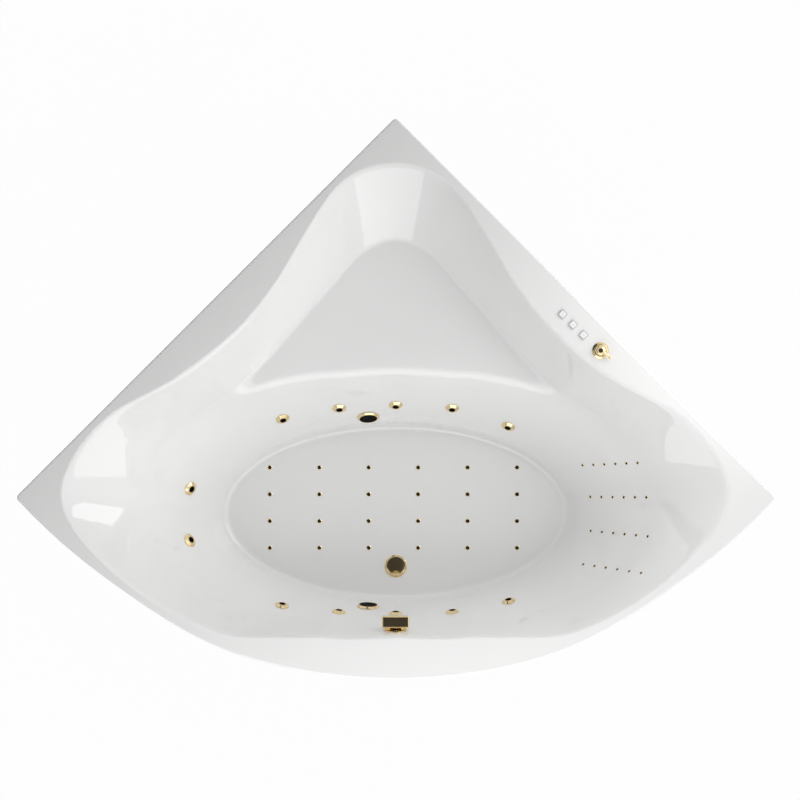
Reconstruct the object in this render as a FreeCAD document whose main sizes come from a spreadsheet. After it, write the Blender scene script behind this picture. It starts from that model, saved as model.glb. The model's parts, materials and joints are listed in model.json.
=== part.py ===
import FreeCAD, Part
import math
import os
import Sketcher
from FreeCAD import Placement, Rotation, Vector

# Acrylic corner bath with water and air jets, made as separate pieces in one shared frame.
# X runs to the right along the long axis, Y to the rear corner, Z up from the floor.

doc = FreeCAD.newDocument("corner_jetted_bath")
sheet = doc.addObject("Spreadsheet::Sheet", "sizes")

# Driving sizes in millimetres: alias, value, what it measures.
SIZES = [
    ("wall_leg", 1500, "straight edge along each room wall"),
    ("tip_deck", 130.66, "deck left between the basin end and the side tip"),
    ("corner_deck", 133, "deck left between the basin and the rear corner"),
    ("front_deck", 121, "deck left in front of the basin"),
    ("basin_depth", 430, "deck top down to the basin floor"),
    ("seat_depth", 170, "deck top down to the corner seat"),
    ("shell_wall", 8, "acrylic with its bonded backing"),
    ("skirt_drop", 38, "turned-down edge of the deck"),
    ("edge_round", 5, "round along the outer top edge"),
    ("corner_round", 12, "upright round at the three corners"),
    ("lip_flat", 9, "deck side of the basin lip roll"),
    ("lip_roll", 30, "basin side of the lip roll"),
    ("crease_span", 24, "reach of the seat edge rounding"),
    ("wall_spread", 14, "spacing of the shaping rows where there is no seat"),
    ("seat_fade", 60, "seat width over which the seat edges sharpen"),
    ("floor_crease", 26, "reach of the rounding around the basin floor"),
    ("cut_over", 6, "overrun of every through cut"),
    ("face_film", 0.15, "sealing film under each flange"),
    ("hole_gap", 0.5, "radial room of a fitting in its hole"),
    ("thread_gap", 0.08, "radial running fit of threads and stems"),
    ("tube_side", 30, "side of the square frame tube"),
    ("tube_wall", 2, "wall of the square frame tube"),
    ("frame_low", 82, "underside of the lower frame tubes"),
    ("tip_post_in", 75.66, "side post centre in from the side tip"),
    ("corner_post_in", 79, "rear post centre in from the rear corner"),
    ("main_rail_back", 67, "main tube behind the basin centre"),
    ("front_rail_fore", 262, "front tube ahead of the basin centre"),
    ("side_rail_x", 300, "long tubes left and right of the centre"),
    ("rail_short", 5, "long tubes end short of the rear edge of the board"),
    ("batten_high", 40, "floor batten height"),
    ("batten_wide", 40, "floor batten width"),
    ("batten_over", 21, "floor batten past the outermost floor air pitch"),
    ("pad_dia", 52, "foot pad"),
    ("pad_high", 9, "foot pad height"),
    ("stud_dia", 12, "foot stud"),
    ("stud_into", 15, "foot stud end above the tube underside"),
    ("foot_nut_flats", 19, "foot nut across flats"),
    ("foot_nut_high", 10, "foot nut height"),
    ("board_thick", 18, "equipment board"),
    ("board_over", 10, "equipment board past each long tube"),
    ("board_deep", 250, "equipment board along Y"),
    ("board_back", 395, "front edge of the board behind the basin centre"),
    ("jet_face_dia", 40, "hydro jet bezel"),
    ("jet_face_high", 6.5, "hydro jet bezel height"),
    ("jet_edge_high", 1.6, "outer edge of the bezel"),
    ("jet_brow", 13, "radius where the bezel slope begins"),
    ("jet_mouth_dia", 18.8, "opening in the bezel"),
    ("ball_dia", 21, "swivelling nozzle ball"),
    ("ball_flat", 6.3, "front and back flats of the ball from its centre"),
    ("nozzle_bore", 9, "water bore of the nozzle"),
    ("nozzle_flare", 12, "mouth of the nozzle bore"),
    ("nozzle_flare_deep", 3, "depth of the flared mouth"),
    ("neck_dia", 27.6, "threaded neck of the bezel"),
    ("neck_bore", 23, "bore of the threaded neck"),
    ("neck_long", 14, "neck behind the wall face"),
    ("seat_tube_dia", 22.2, "ball seat of the jet body"),
    ("seat_bore", 17.6, "bore of the ball seat"),
    ("seat_front", 6.9, "front of the ball seat behind the wall face"),
    ("thread_floor", 15.2, "bottom of the thread pocket"),
    ("flange_dia", 46, "clamping flange of the jet body"),
    ("flange_back", 10.6, "front of the clamping flange behind the wall face"),
    ("flange_thick", 4, "clamping flange thickness"),
    ("stem_dia", 34, "stem of the jet body"),
    ("water_deep", 54, "water barrel centre behind the wall face"),
    ("water_dia", 32, "water barrel and hose"),
    ("water_bore", 25, "bore of the water barrel and hose"),
    ("barrel_long", 60, "water barrel length"),
    ("air_deep", 26, "air barrel centre behind the wall face"),
    ("air_dia", 16, "air barrel and hose"),
    ("air_bore", 10, "bore of the air barrel and hose"),
    ("cap_long", 8, "end cap of a hose line"),
    ("jet_pitch", 165, "hydro jet spacing along X"),
    ("front_jet_deep", 250, "front jets below the deck"),
    ("rear_jet_deep", 285, "rear jets below the deck"),
    ("end_jet_drop", 30, "extra depth of the last jet on the right"),
    ("side_jet_out", 600, "left jets out from the centre"),
    ("side_jet_back", 76, "first left jet behind the basin centre"),
    ("side_jet_fore", 75, "second left jet ahead of the basin centre"),
    ("suction_x", 81, "suction fittings left of the centre"),
    ("front_suction_deep", 335, "front suction below the deck"),
    ("rear_suction_deep", 342, "rear suction below the deck"),
    ("suction_dia", 66, "suction ring"),
    ("suction_high", 5.5, "suction ring height"),
    ("suction_edge", 1.6, "outer edge of the suction ring"),
    ("suction_core", 52, "slotted centre of the suction"),
    ("core_slack", 0.25, "room around the slotted centre"),
    ("core_thick", 3.4, "slotted centre thickness"),
    ("core_ledge", 0.9, "ledge of the slotted centre above the wall face"),
    ("core_hole", 5, "holes of the slotted centre"),
    ("core_ring_a", 10, "inner ring of holes"),
    ("core_ring_b", 19, "outer ring of holes"),
    ("suction_neck", 49.6, "threaded neck of the suction ring"),
    ("suction_neck_bore", 44, "bore of the suction neck"),
    ("suction_flange", 70, "clamping flange of the suction body"),
    ("suction_stem", 57, "stem of the suction body"),
    ("suction_deep", 56, "suction barrel centre behind the wall face"),
    ("suction_pipe", 50, "suction barrel and hose"),
    ("suction_bore", 43, "bore of the suction barrel and hose"),
    ("suction_long", 90, "suction barrel length"),
    ("suction_under", 9, "room between the suction hose and the frame above it"),
    ("suction_run_x", 205, "hose under the frame left of the centre"),
    ("suction_bend", 60, "bend of the suction hose"),
    ("floor_cap_dia", 14, "floor air cap"),
    ("floor_cap_high", 2.6, "floor air cap height"),
    ("floor_cap_bore", 2.4, "air bore of the floor air cap"),
    ("floor_cap_flat", 8, "flat top of the floor air cap"),
    ("floor_stem", 8, "stem of the floor air cap"),
    ("floor_stem_long", 16, "stem length below the floor face"),
    ("floor_pitch_x", 147.6, "floor air spacing along X"),
    ("floor_pitch_y", 80, "floor air spacing along Y"),
    ("floor_row_back", 133, "first floor air row behind the basin centre"),
    ("floor_shift", 7, "floor air rows shifted left"),
    ("floor_body_dia", 20, "clamp of the floor air body"),
    ("floor_body_top", 9, "clamp front below the floor face"),
    ("floor_body_thick", 4, "clamp thickness"),
    ("floor_pipe_deep", 26, "floor air barrel below the floor face"),
    ("floor_pipe", 16, "floor air barrel and hose"),
    ("floor_pipe_bore", 11, "bore of the floor air barrel and hose"),
    ("floor_barrel", 30, "floor air barrel length"),
    ("back_cap_dia", 9, "back air cap"),
    ("back_cap_high", 2, "back air cap height"),
    ("back_cap_bore", 1.6, "air bore of the back air cap"),
    ("back_cap_flat", 5, "flat top of the back air cap"),
    ("back_stem", 5, "stem of the back air cap"),
    ("back_stem_long", 14, "stem length behind the wall face"),
    ("back_body_dia", 13, "clamp of the back air body"),
    ("back_body_top", 10, "clamp front behind the wall face"),
    ("back_body_thick", 3, "clamp thickness"),
    ("back_pipe_deep", 30, "back air barrel behind the wall face"),
    ("back_pipe", 10, "back air barrel and hose"),
    ("back_pipe_bore", 6.5, "bore of the back air barrel and hose"),
    ("back_barrel", 16, "back air barrel length"),
    ("back_run", 147, "reach of one back row along X"),
    ("back_outer_x", 546.5, "start of the outer back rows"),
    ("back_inner_x", 573, "start of the inner back rows"),
    ("back_outer_y", 144.5, "outer back rows from the basin centre"),
    ("back_inner_y", 50, "inner back rows from the basin centre"),
    ("back_fan", 10, "sideways spread along an outer back row"),
    ("control_in", 59, "deck controls in from the wall edge"),
    ("button_along", 718, "first button along the wall edge from the corner"),
    ("button_pitch", 41, "button spacing"),
    ("button_side", 20.6, "button frame"),
    ("button_cap", 15.4, "button cap"),
    ("button_rim", 3.6, "button frame height"),
    ("button_stand", 0.8, "button cap above its frame"),
    ("button_travel", 1.5, "button travel"),
    ("button_cap_thick", 2, "button cap thickness"),
    ("button_slack", 0.35, "room around the button cap"),
    ("button_stem", 16, "threaded stem of the button frame"),
    ("button_stem_long", 34, "stem length below the deck"),
    ("plunger_dia", 6, "button plunger"),
    ("plunger_long", 20, "button plunger length"),
    ("deck_nut_flats", 27, "nut under each button"),
    ("deck_nut_high", 8, "height of the nuts under the deck"),
    ("valve_along", 864, "air valve along the wall edge from the corner"),
    ("valve_in", 56, "air valve in from the wall edge"),
    ("valve_base_dia", 46, "air valve base ring"),
    ("valve_base_high", 7, "air valve base height"),
    ("valve_edge_high", 2, "outer edge of the valve base"),
    ("valve_brow", 17.5, "radius where the valve base slope begins"),
    ("valve_post_dia", 14, "turning post of the lever"),
    ("valve_cap_dia", 31, "lever cap"),
    ("valve_cap_high", 12, "lever cap height"),
    ("valve_cap_round", 11, "round of the lever cap"),
    ("lever_long", 32, "lever centre to ball tip"),
    ("lever_root", 11, "lever arm at the cap"),
    ("lever_dia", 6, "lever arm at the ball tip"),
    ("lever_tip", 9, "lever ball tip"),
    ("valve_neck", 28, "threaded neck below the valve base"),
    ("valve_neck_long", 20, "neck length below the deck"),
    ("valve_nut_flats", 42, "nut under the air valve"),
    ("valve_body_dia", 34, "air valve chamber"),
    ("valve_body_long", 50, "air valve chamber length"),
    ("drain_fore", 162, "drain ahead of the basin centre"),
    ("drain_dia", 68, "drain flange"),
    ("drain_high", 3, "drain flange height"),
    ("drain_edge", 1, "outer edge of the drain flange"),
    ("drain_throat", 48, "threaded throat of the drain"),
    ("drain_bore", 40, "bore of the drain"),
    ("drain_throat_long", 26, "throat length below the floor face"),
    ("plug_dia", 60, "drain plug"),
    ("plug_high", 6, "drain plug height"),
    ("plug_edge", 1.5, "outer edge of the drain plug and its bevel"),
    ("plug_dome", 140, "radius of the drain plug dome"),
    ("plug_stem", 8, "drain plug stem"),
    ("plug_stem_long", 50, "drain plug stem length"),
    ("trap_collar", 70, "collar under the floor"),
    ("trap_collar_top", 9, "collar front below the floor face"),
    ("trap_collar_high", 24, "collar height"),
    ("trap_cup", 84, "trap cup"),
    ("trap_wall", 4, "trap wall"),
    ("trap_drop", 150, "underside of the trap cup below the basin floor"),
    ("outlet_dia", 40, "waste outlet pipe"),
    ("outlet_long", 110, "waste outlet from the drain axis"),
    ("outlet_drop", 122, "waste outlet centre below the basin floor"),
    ("shoulder_dia", 52, "shoulder at the root of the waste outlet"),
    ("shoulder_long", 10, "shoulder beyond the trap cup"),
    ("overflow_deep", 66, "overflow centre below the deck"),
    ("overflow_plate", 62, "overflow face plate"),
    ("overflow_plate_high", 3.5, "overflow face plate height"),
    ("overflow_neck", 40, "threaded neck of the face plate"),
    ("overflow_neck_bore", 33, "bore of the face plate neck"),
    ("knob_wide", 77, "overflow knob width"),
    ("knob_tall", 24, "overflow knob height"),
    ("knob_deep", 34, "overflow knob depth from back to front"),
    ("knob_gap", 2, "water gap under the knob"),
    ("knob_round", 4, "round of the knob edges"),
    ("knob_post", 12, "turning post of the knob"),
    ("overflow_shell", 54, "overflow chamber"),
    ("overflow_reach", 96, "rear of the overflow chamber behind the wall face"),
    ("overflow_pipe", 28, "overflow pipe and hose"),
    ("spout_in", 19.6, "overflow spout from the back of its chamber"),
    ("overflow_bore", 22, "bore of the overflow pipe and hose"),
    ("overflow_down", 46, "overflow spout below the chamber axis"),
    ("inlet_drop", 57, "overflow inlet of the trap below the basin floor"),
    ("inlet_reach", 62, "overflow inlet reach from the trap axis"),
    ("hose_bend", 45, "bend of the overflow hose"),
    ("cable_dia", 6, "plug cable"),
    ("cable_stub", 9.6, "stub that holds the plug cable"),
    ("cable_core", 2, "bore of the plug cable sleeve"),
    ("cable_side", 10, "plug cable right of the overflow hose"),
    ("pump_in", 145, "pump axis behind the front edge of the board"),
    ("pump_high", 84, "pump axis above the board"),
    ("volute_dia", 140, "pump casing"),
    ("volute_long", 76, "pump casing length"),
    ("volute_wall", 8, "pump casing wall"),
    ("volute_x", 96, "right face of the pump casing left of the centre"),
    ("inlet_long", 26, "pump inlet stub"),
    ("delivery_side", 40, "pump outlet behind the pump axis"),
    ("delivery_high", 118, "pump outlet end above the pump axis"),
    ("delivery_rise", 50, "delivery hose crossing above the pump outlet"),
    ("delivery_swing", 95, "delivery hose swing beyond the first jet"),
    ("delivery_bend", 46, "bend of the delivery hose"),
    ("impeller_dia", 104, "impeller"),
    ("impeller_plate", 6, "impeller back plate"),
    ("vane_high", 22, "impeller vanes"),
    ("vane_thick", 4, "impeller vane thickness"),
    ("hub_dia", 30, "impeller hub"),
    ("shaft_dia", 14, "pump shaft"),
    ("shaft_into", 60, "pump shaft inside the motor"),
    ("motor_dia", 124, "pump motor"),
    ("motor_long", 165, "pump motor length"),
    ("motor_rib", 3, "cooling rib height"),
    ("motor_foot_wide", 110, "motor foot"),
    ("motor_foot_long", 120, "motor foot along X"),
    ("motor_foot_thick", 6, "motor foot plate"),
    ("motor_web_wide", 60, "motor foot web"),
    ("terminal_long", 70, "terminal box on the motor"),
    ("terminal_wide", 60, "terminal box width"),
    ("terminal_high", 30, "terminal box height"),
    ("blower_x", 215, "blower right of the centre"),
    ("blower_dia", 170, "blower drum"),
    ("blower_high", 96, "blower drum height"),
    ("blower_wall", 5, "blower wall"),
    ("blower_motor", 96, "blower motor cover"),
    ("blower_motor_high", 60, "blower motor cover height"),
    ("fan_dia", 140, "blower fan"),
    ("fan_plate", 4, "blower fan plate"),
    ("fan_high", 40, "blower fan blades"),
    ("fan_shaft", 12, "blower shaft"),
    ("fan_shaft_into", 40, "blower shaft inside its motor cover"),
    ("outlet_spread", 38, "blower outlets from the drum axis"),
    ("outlet_reach", 112, "blower outlets from the drum axis along X"),
    ("outlet_rise", 32, "lower blower outlet above the board"),
    ("outlet_step", 44, "upper blower outlet above the lower one"),
    ("box_wide", 170, "control box along X"),
    ("box_deep", 58, "control box along Y"),
    ("box_tall", 190, "control box height"),
    ("box_low", 250, "underside of the control box"),
    ("box_wall", 4, "control box wall"),
    ("lid_thick", 4, "control box lid"),
    ("gland_dia", 20, "cable gland of the control box"),
    ("gland_long", 22, "cable gland length"),
]
for number, (alias, value, note) in enumerate(SIZES, start=1):
    sheet.set("A" + str(number), note)
    sheet.set("B" + str(number), str(value))
    sheet.setAlias("B" + str(number), alias)
doc.recompute()


class Size:
    """A length that knows its value and the sheet expression behind it."""

    def __init__(self, value, text):
        self.value = float(value)
        self.text = text

    def __add__(self, other):
        other = as_size(other)
        return Size(self.value + other.value, "(" + self.text + " + " + other.text + ")")

    def __sub__(self, other):
        other = as_size(other)
        return Size(self.value - other.value, "(" + self.text + " - " + other.text + ")")

    def __mul__(self, factor):
        return Size(self.value * factor, "(" + self.text + " * " + repr(factor) + ")")

    def __truediv__(self, divisor):
        return Size(self.value / divisor, "(" + self.text + " / " + repr(divisor) + ")")

    def __neg__(self):
        return Size(-self.value, "(0 - " + self.text + ")")


def as_size(item):
    if isinstance(item, Size):
        return item
    return Size(item, repr(float(item)))


def cell(alias):
    return Size(sheet.get(alias), "sizes." + alias)


def mm(alias):
    return float(sheet.get(alias))


ZERO = as_size(0)
ROOT_TWO = math.sqrt(2)
made = {}


def node(label, item):
    """Name one sub-part and keep it for writing."""
    item.Label = label
    made[label] = item
    return item


def bind(item, name, amount):
    item.setExpression(name, as_size(amount).text)


def put(item, base, axis=Vector(0, 0, 1)):
    """Bind an object's position and turn its own Z to the given axis."""
    item.Placement = Placement(Vector(), Rotation(Vector(0, 0, 1), axis))
    for letter, amount in zip("xyz", base):
        bind(item, "Placement.Base." + letter, amount)
    return item


def box(name, base, spans):
    item = doc.addObject("Part::Box", name)
    for side, amount in zip(("Length", "Width", "Height"), spans):
        bind(item, side, amount)
    return put(item, base)


def rod(name, dia, length, base, axis=Vector(0, 0, 1)):
    item = doc.addObject("Part::Cylinder", name)
    bind(item, "Radius", as_size(dia) / 2)
    bind(item, "Height", length)
    return put(item, base, axis)


def hexagon(name, flats, height, base):
    item = doc.addObject("Part::Prism", name)
    item.Polygon = 6
    bind(item, "Circumradius", as_size(flats) / math.sqrt(3))
    bind(item, "Height", height)
    return put(item, base)


def fuse(name, pieces):
    item = doc.addObject("Part::MultiFuse", name)
    item.Shapes = pieces
    return item


def cut(name, base, tools):
    tool = tools[0]
    if len(tools) > 1:
        tool = doc.addObject("Part::Compound", name + "_tools")
        tool.Links = tools
    item = doc.addObject("Part::Cut", name)
    item.Base = base
    item.Tool = tool
    return item


def bundle(name, pieces):
    item = doc.addObject("Part::Compound", name)
    item.Links = pieces
    return item


def free(name, shape):
    item = doc.addObject("Part::Feature", name)
    item.Shape = shape
    return item


def turned(name, profile):
    """Body turned about its own Z from a closed (radius, height) profile."""
    body = doc.addObject("PartDesign::Body", name)
    sketch = body.newObject("Sketcher::SketchObject", name + "_profile")
    for plane in body.Origin.OriginFeatures:
        if plane.Role == "XZ_Plane":
            sketch.AttachmentSupport = [(plane, "")]
    sketch.MapMode = "FlatFace"
    corners = [(as_size(radius), as_size(height)) for radius, height in profile]
    total = len(corners)
    for index in range(total):
        start = corners[index]
        end = corners[(index + 1) % total]
        sketch.addGeometry(Part.LineSegment(
            Vector(start[0].value, start[1].value, 0),
            Vector(end[0].value, end[1].value, 0)), False)
    for index in range(total):
        follower = (index + 1) % total
        sketch.addConstraint(Sketcher.Constraint("Coincident", index, 2, follower, 1))
    for index, (radius, height) in enumerate(corners):
        if radius.value == 0:
            sketch.addConstraint(Sketcher.Constraint("PointOnObject", index, 1, -2))
        else:
            spot = sketch.addConstraint(
                Sketcher.Constraint("DistanceX", -1, 1, index, 1, radius.value))
            sketch.setExpression("Constraints[" + str(spot) + "]", radius.text)
        if height.value == 0:
            sketch.addConstraint(Sketcher.Constraint("PointOnObject", index, 1, -1))
        else:
            spot = sketch.addConstraint(
                Sketcher.Constraint("DistanceY", -1, 1, index, 1, height.value))
            sketch.setExpression("Constraints[" + str(spot) + "]", height.text)
    turn = body.newObject("PartDesign::Revolution", name + "_turn")
    turn.Profile = sketch
    turn.ReferenceAxis = (sketch, ["V_Axis"])
    turn.Angle = 360
    body.Tip = turn
    return body


def softened(body, radius, height, amount):
    """Round the circular edge of a turned body at one radius and height."""
    doc.recompute()
    names = []
    for number, edge in enumerate(body.Shape.Edges, start=1):
        if edge.Curve.TypeId != "Part::GeomCircle":
            continue
        near_radius = abs(edge.Curve.Radius - radius.value) < mm("face_film") / 2
        if near_radius and abs(edge.Curve.Center.z - height.value) < mm("face_film") / 2:
            names.append("Edge" + str(number))
    solid = body.Tip
    rounding = body.newObject("PartDesign::Fillet", body.Name + "_round")
    rounding.Base = (solid, names)
    bind(rounding, "Radius", amount)
    body.Tip = rounding
    return body


# Plan of the basin, seen from above
# Angles are in degrees from +X about the basin centre, for the right half.
# Shares are of the basin half length, measured outward from the basin centre.
LIP_SHARES = [
    (-90, 0.349), (-60, 0.403), (-45, 0.492), (-34.5, 0.606), (-27.6, 0.670), (-19.2, 0.756),
    (-10.7, 0.852), (-5, 0.920), (0, 0.976), (4.5, 1.003), (9.3, 0.988), (15.7, 0.945),
    (21.8, 0.889), (27, 0.826), (33.4, 0.774), (43, 0.739), (54, 0.742), (64.3, 0.798),
    (70.9, 0.873), (76.4, 0.952), (78.7, 0.992), (81.6, 1.028), (85, 1.053), (90, 1.0645)]
WALL_SHARES = [
    (-90, 0.320), (-60, 0.368), (-45, 0.442), (-34.5, 0.526), (-19.2, 0.650), (-5, 0.750),
    (4.5, 0.785), (15.7, 0.742), (27, 0.680), (37, 0.620), (46, 0.566), (55.5, 0.519),
    (70, 0.468), (90, 0.449)]
SEAT_SHARES = [(37, 0.620), (48, 0.627), (60.8, 0.659), (74.5, 0.741), (81.7, 0.815), (90, 0.856)]
FLOOR_LONG_SHARE = 0.553
FLOOR_SHORT_SHARE = 0.282
COLUMNS = 144
HALF_TURN = 180
FULL_TURN = 360

half_length = mm("wall_leg") / ROOT_TWO - mm("tip_deck")
half_tips = cell("wall_leg") / ROOT_TWO
rear_reach = (half_tips - cell("tip_deck")) * LIP_SHARES[-1][1]
front_reach = (half_tips - cell("tip_deck")) * LIP_SHARES[0][1]
corner_trim = cell("corner_round") * (ROOT_TWO - 1)
half_depth = (rear_reach + cell("corner_deck") + front_reach + cell("front_deck") - corner_trim) / 2
apex_y = half_depth + corner_trim
centre_y = apex_y - cell("corner_deck") - rear_reach
CENTRE = Vector(0, centre_y.value, 0)
floor_under = cell("frame_low") + cell("tube_side") * 2 + cell("batten_high")
floor_z = floor_under + cell("shell_wall")
rim = floor_z + cell("basin_depth")
deck_z = rim.value


def hermite(before, start, end, after, angle):
    """Smooth step between two (angle, share) pairs, led by their neighbours."""
    span = end[0] - start[0]
    lead = (end[1] - before[1]) / (end[0] - before[0]) * span
    trail = (after[1] - start[1]) / (after[0] - start[0]) * span
    step = (angle - start[0]) / span
    rise = step * step * (3 - 2 * step)
    return (start[1] * (1 - rise) + end[1] * rise
            + lead * step * (1 - step) ** 2 - trail * step * step * (1 - step))


def outline(shares, angle):
    """Radius share at one angle of a left-right symmetrical table."""
    angle = (angle + 90) % FULL_TURN - 90
    if angle > 90:
        angle = HALF_TURN - angle
    index = 0
    while index < len(shares) - 2 and angle > shares[index + 1][0]:
        index += 1
    start = shares[index]
    end = shares[index + 1]
    if index > 0:
        before = shares[index - 1]
    elif start[0] == -90:
        before = (-HALF_TURN - end[0], end[1])
    else:
        before = (2 * start[0] - end[0], 2 * start[1] - end[1])
    if index + 2 < len(shares):
        after = shares[index + 2]
    else:
        after = (HALF_TURN - start[0], start[1])
    return hermite(before, start, end, after, angle)


def floor_share(angle):
    turn = math.radians(angle)
    along = math.cos(turn) / FLOOR_LONG_SHARE
    across = math.sin(turn) / FLOOR_SHORT_SHARE
    return 1 / math.hypot(along, across)


def toward(start, end, reach):
    """Point at a given reach from start toward end, both (radius, height)."""
    gap = math.hypot(end[0] - start[0], end[1] - start[1])
    return (start[0] + (end[0] - start[0]) * reach / gap,
            start[1] + (end[1] - start[1]) * reach / gap)


# Shares of the lower wall height at which its shaping rows lie
LOW_ROW_SHARES = (0.2, 0.46, 0.72, 0.9)


def column(angle):
    """One upright profile of the basin as (radius, height) shaping points."""
    lean = math.sin(math.radians(angle))
    end_share = math.cos(math.radians(angle)) ** 4
    lip = (outline(LIP_SHARES, angle) * half_length, deck_z)
    inner = outline(WALL_SHARES, angle) * half_length
    base = floor_share(angle) * half_length
    seat_z = deck_z - mm("seat_depth")
    fall = mm("basin_depth") - mm("seat_depth")
    side = (angle + 90) % FULL_TURN - 90
    side = min(side, HALF_TURN - side)
    width = 0
    if side > SEAT_SHARES[0][0]:
        width = max(0, outline(SEAT_SHARES, angle) * half_length - inner)
    sharp = min(1, width / mm("seat_fade"))
    sharp = sharp * sharp * (3 - 2 * sharp)
    outer = inner + width
    bulge = 1.25 + 0.55 * max(0, lean) - 0.2 * max(0, -lean)

    def low(share):
        pull = 1 - (1 - share) ** bulge
        return (inner + (base - inner) * pull, seat_z - fall * share)

    upper_edge = (outer, seat_z)
    lower_edge = (inner, seat_z)
    flare = 0.5 + 0.08 * end_share
    middle = (lip[0] + (outer - lip[0]) * flare, deck_z - mm("seat_depth") / 2)
    lip_end = toward(lip, middle, mm("lip_roll"))
    drop_start = toward(upper_edge, middle, mm("crease_span"))
    down = toward((0, 0), (low(LOW_ROW_SHARES[0])[0] - middle[0],
                           low(LOW_ROW_SHARES[0])[1] - middle[1]), 1 - sharp)
    spread = mm("wall_spread")
    inset = min(mm("crease_span"), width / 3)
    rows = [(lip[0] + mm("lip_flat"), deck_z), lip, lip_end, middle, drop_start]
    for place, share in ((upper_edge, -1.5), ((outer - inset, seat_z), -0.5),
                         ((inner + inset, seat_z), 0.5), (lower_edge, 1.5)):
        rows.append((place[0] + down[0] * spread * share, place[1] + down[1] * spread * share))
    for share in LOW_ROW_SHARES:
        rows.append(low(share))
    rows.append((base, floor_z.value))
    rows.append((base - mm("floor_crease"), floor_z.value))
    return rows


def basin_net():
    net = []
    for index in range(COLUMNS):
        angle = -90 + FULL_TURN * index / COLUMNS
        way = Vector(math.cos(math.radians(angle)), math.sin(math.radians(angle)), 0)
        net.append([CENTRE + way * radius + Vector(0, 0, height)
                    for radius, height in column(angle)])
    return net


def thickened(net, wall):
    """The same net moved outward by the wall, square to its own facets."""
    rings = len(net)
    rows = len(net[0])
    facets = []
    for ring in range(rings):
        strip = []
        for row in range(rows - 1):
            ahead = net[(ring + 1) % rings]
            slope = (ahead[row + 1] - net[ring][row]).cross(net[ring][row + 1] - ahead[row])
            strip.append(slope.normalize())
        facets.append(strip)
    moved = []
    for ring in range(rings):
        strip = []
        for row in range(rows):
            if row in (0, rows - 1):
                strip.append(net[ring][row] - Vector(0, 0, wall))
                continue
            around = [facets[turn % rings][step]
                      for turn in (ring - 1, ring) for step in (row - 1, row)]
            mean = Vector()
            for slope in around:
                mean = mean + slope
            mean.normalize()
            squareness = sum(mean.dot(slope) for slope in around) / len(around)
            strip.append(net[ring][row] - mean * (wall / max(squareness, 0.6)))
        moved.append(strip)
    return moved


def smooth_surface(net):
    rings = len(net)
    rows = len(net[0])
    surface = Part.BSplineSurface()
    surface.buildFromPolesMultsKnots(
        net, [1] * (rings + 1), [4] + [1] * (rows - 4) + [4],
        list(range(rings + 1)), list(range(rows - 2)), True, False, 3, 3)
    return surface


# Front edge of the deck: shares of the half width and of the bow, left half
BOW_SHARES = [(-1, 0), (-0.838, 0.320), (-0.704, 0.530), (-0.470, 0.818), (-0.236, 0.957), (0, 1)]


def deck_outline(height, inset):
    """Right-angled corner with a bowed front, moved inward by the inset."""
    tip = half_tips.value
    tip_y = apex_y.value - tip
    bow = tip_y + half_depth.value
    points = [Vector(x * tip, tip_y - y * bow, height) for x, y in BOW_SHARES]
    points += [Vector(-point.x, point.y, height) for point in reversed(points[:-1])]
    front = Part.BSplineCurve()
    front.interpolate(points)
    corner = inset * ROOT_TWO
    moved = [points[0] + Vector(corner, 0, 0)]
    for point in points[1:-1]:
        way = front.tangent(front.parameter(point))[0]
        moved.append(point + Vector(-way.y, way.x, 0) * inset)
    moved.append(points[-1] - Vector(corner, 0, 0))
    edge = Part.BSplineCurve()
    edge.interpolate(moved)
    apex = Vector(0, apex_y.value - corner, height)
    return Part.Wire([edge.toShape(), Part.makeLine(moved[-1], apex), Part.makeLine(apex, moved[0])])


def ring_edges(face):
    closed = [edge for edge in face.Edges if edge.isClosed()]
    closed.sort(key=lambda edge: edge.BoundBox.ZMax)
    return Part.Wire(closed[-1]), Part.Wire(closed[0])


INNER_NET = basin_net()
INNER = smooth_surface(INNER_NET)
OUTER = smooth_surface(thickened(INNER_NET, mm("shell_wall")))


def deck_tray():
    """Flat deck with its turned-down skirt, before the basin opening."""
    wall = mm("shell_wall")
    drop = mm("skirt_drop")
    block = Part.Face(deck_outline(deck_z, 0)).extrude(Vector(0, 0, -drop))
    corners = [edge for edge in block.Edges
               if edge.BoundBox.XLength < wall and edge.BoundBox.YLength < wall]
    block = block.makeFillet(mm("corner_round"), corners)
    tops = [edge for edge in block.Edges if edge.BoundBox.ZMin > deck_z - mm("face_film")]
    block = block.makeFillet(mm("edge_round"), tops)
    hollow = Part.Face(deck_outline(deck_z - wall, wall)).extrude(Vector(0, 0, -drop))
    return block.cut(hollow)


def raw_shell():
    """Deck and basin as one solid, before the fitting holes."""
    wall = mm("shell_wall")
    inner_face = INNER.toShape()
    outer_face = OUTER.toShape()
    inner_top, inner_floor = ring_edges(inner_face)
    outer_floor = ring_edges(outer_face)[1]
    skin = Part.makeCompound([inner_face, outer_face, Part.Face(inner_floor), Part.Face(outer_floor)]
                             + inner_top.extrude(Vector(0, 0, -wall)).Faces)
    skin.sewShape()
    bowl = Part.makeSolid(skin.Shells[0])
    if bowl.Volume < 0:
        bowl.reverse()
    opening = Part.Face(inner_top)
    opening.translate(Vector(0, 0, mm("cut_over")))
    plug = opening.extrude(Vector(0, 0, -wall - 2 * mm("cut_over")))
    return deck_tray().cut(plug).fuse(bowl).Solids[0]


# Finding places on the basin wall
GRID = [(turn, step / 4) for turn in range(0, COLUMNS, 2) for step in range(5, 4 * 12)]
GRID = [(spot, INNER.value(*spot)) for spot in GRID]


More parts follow.
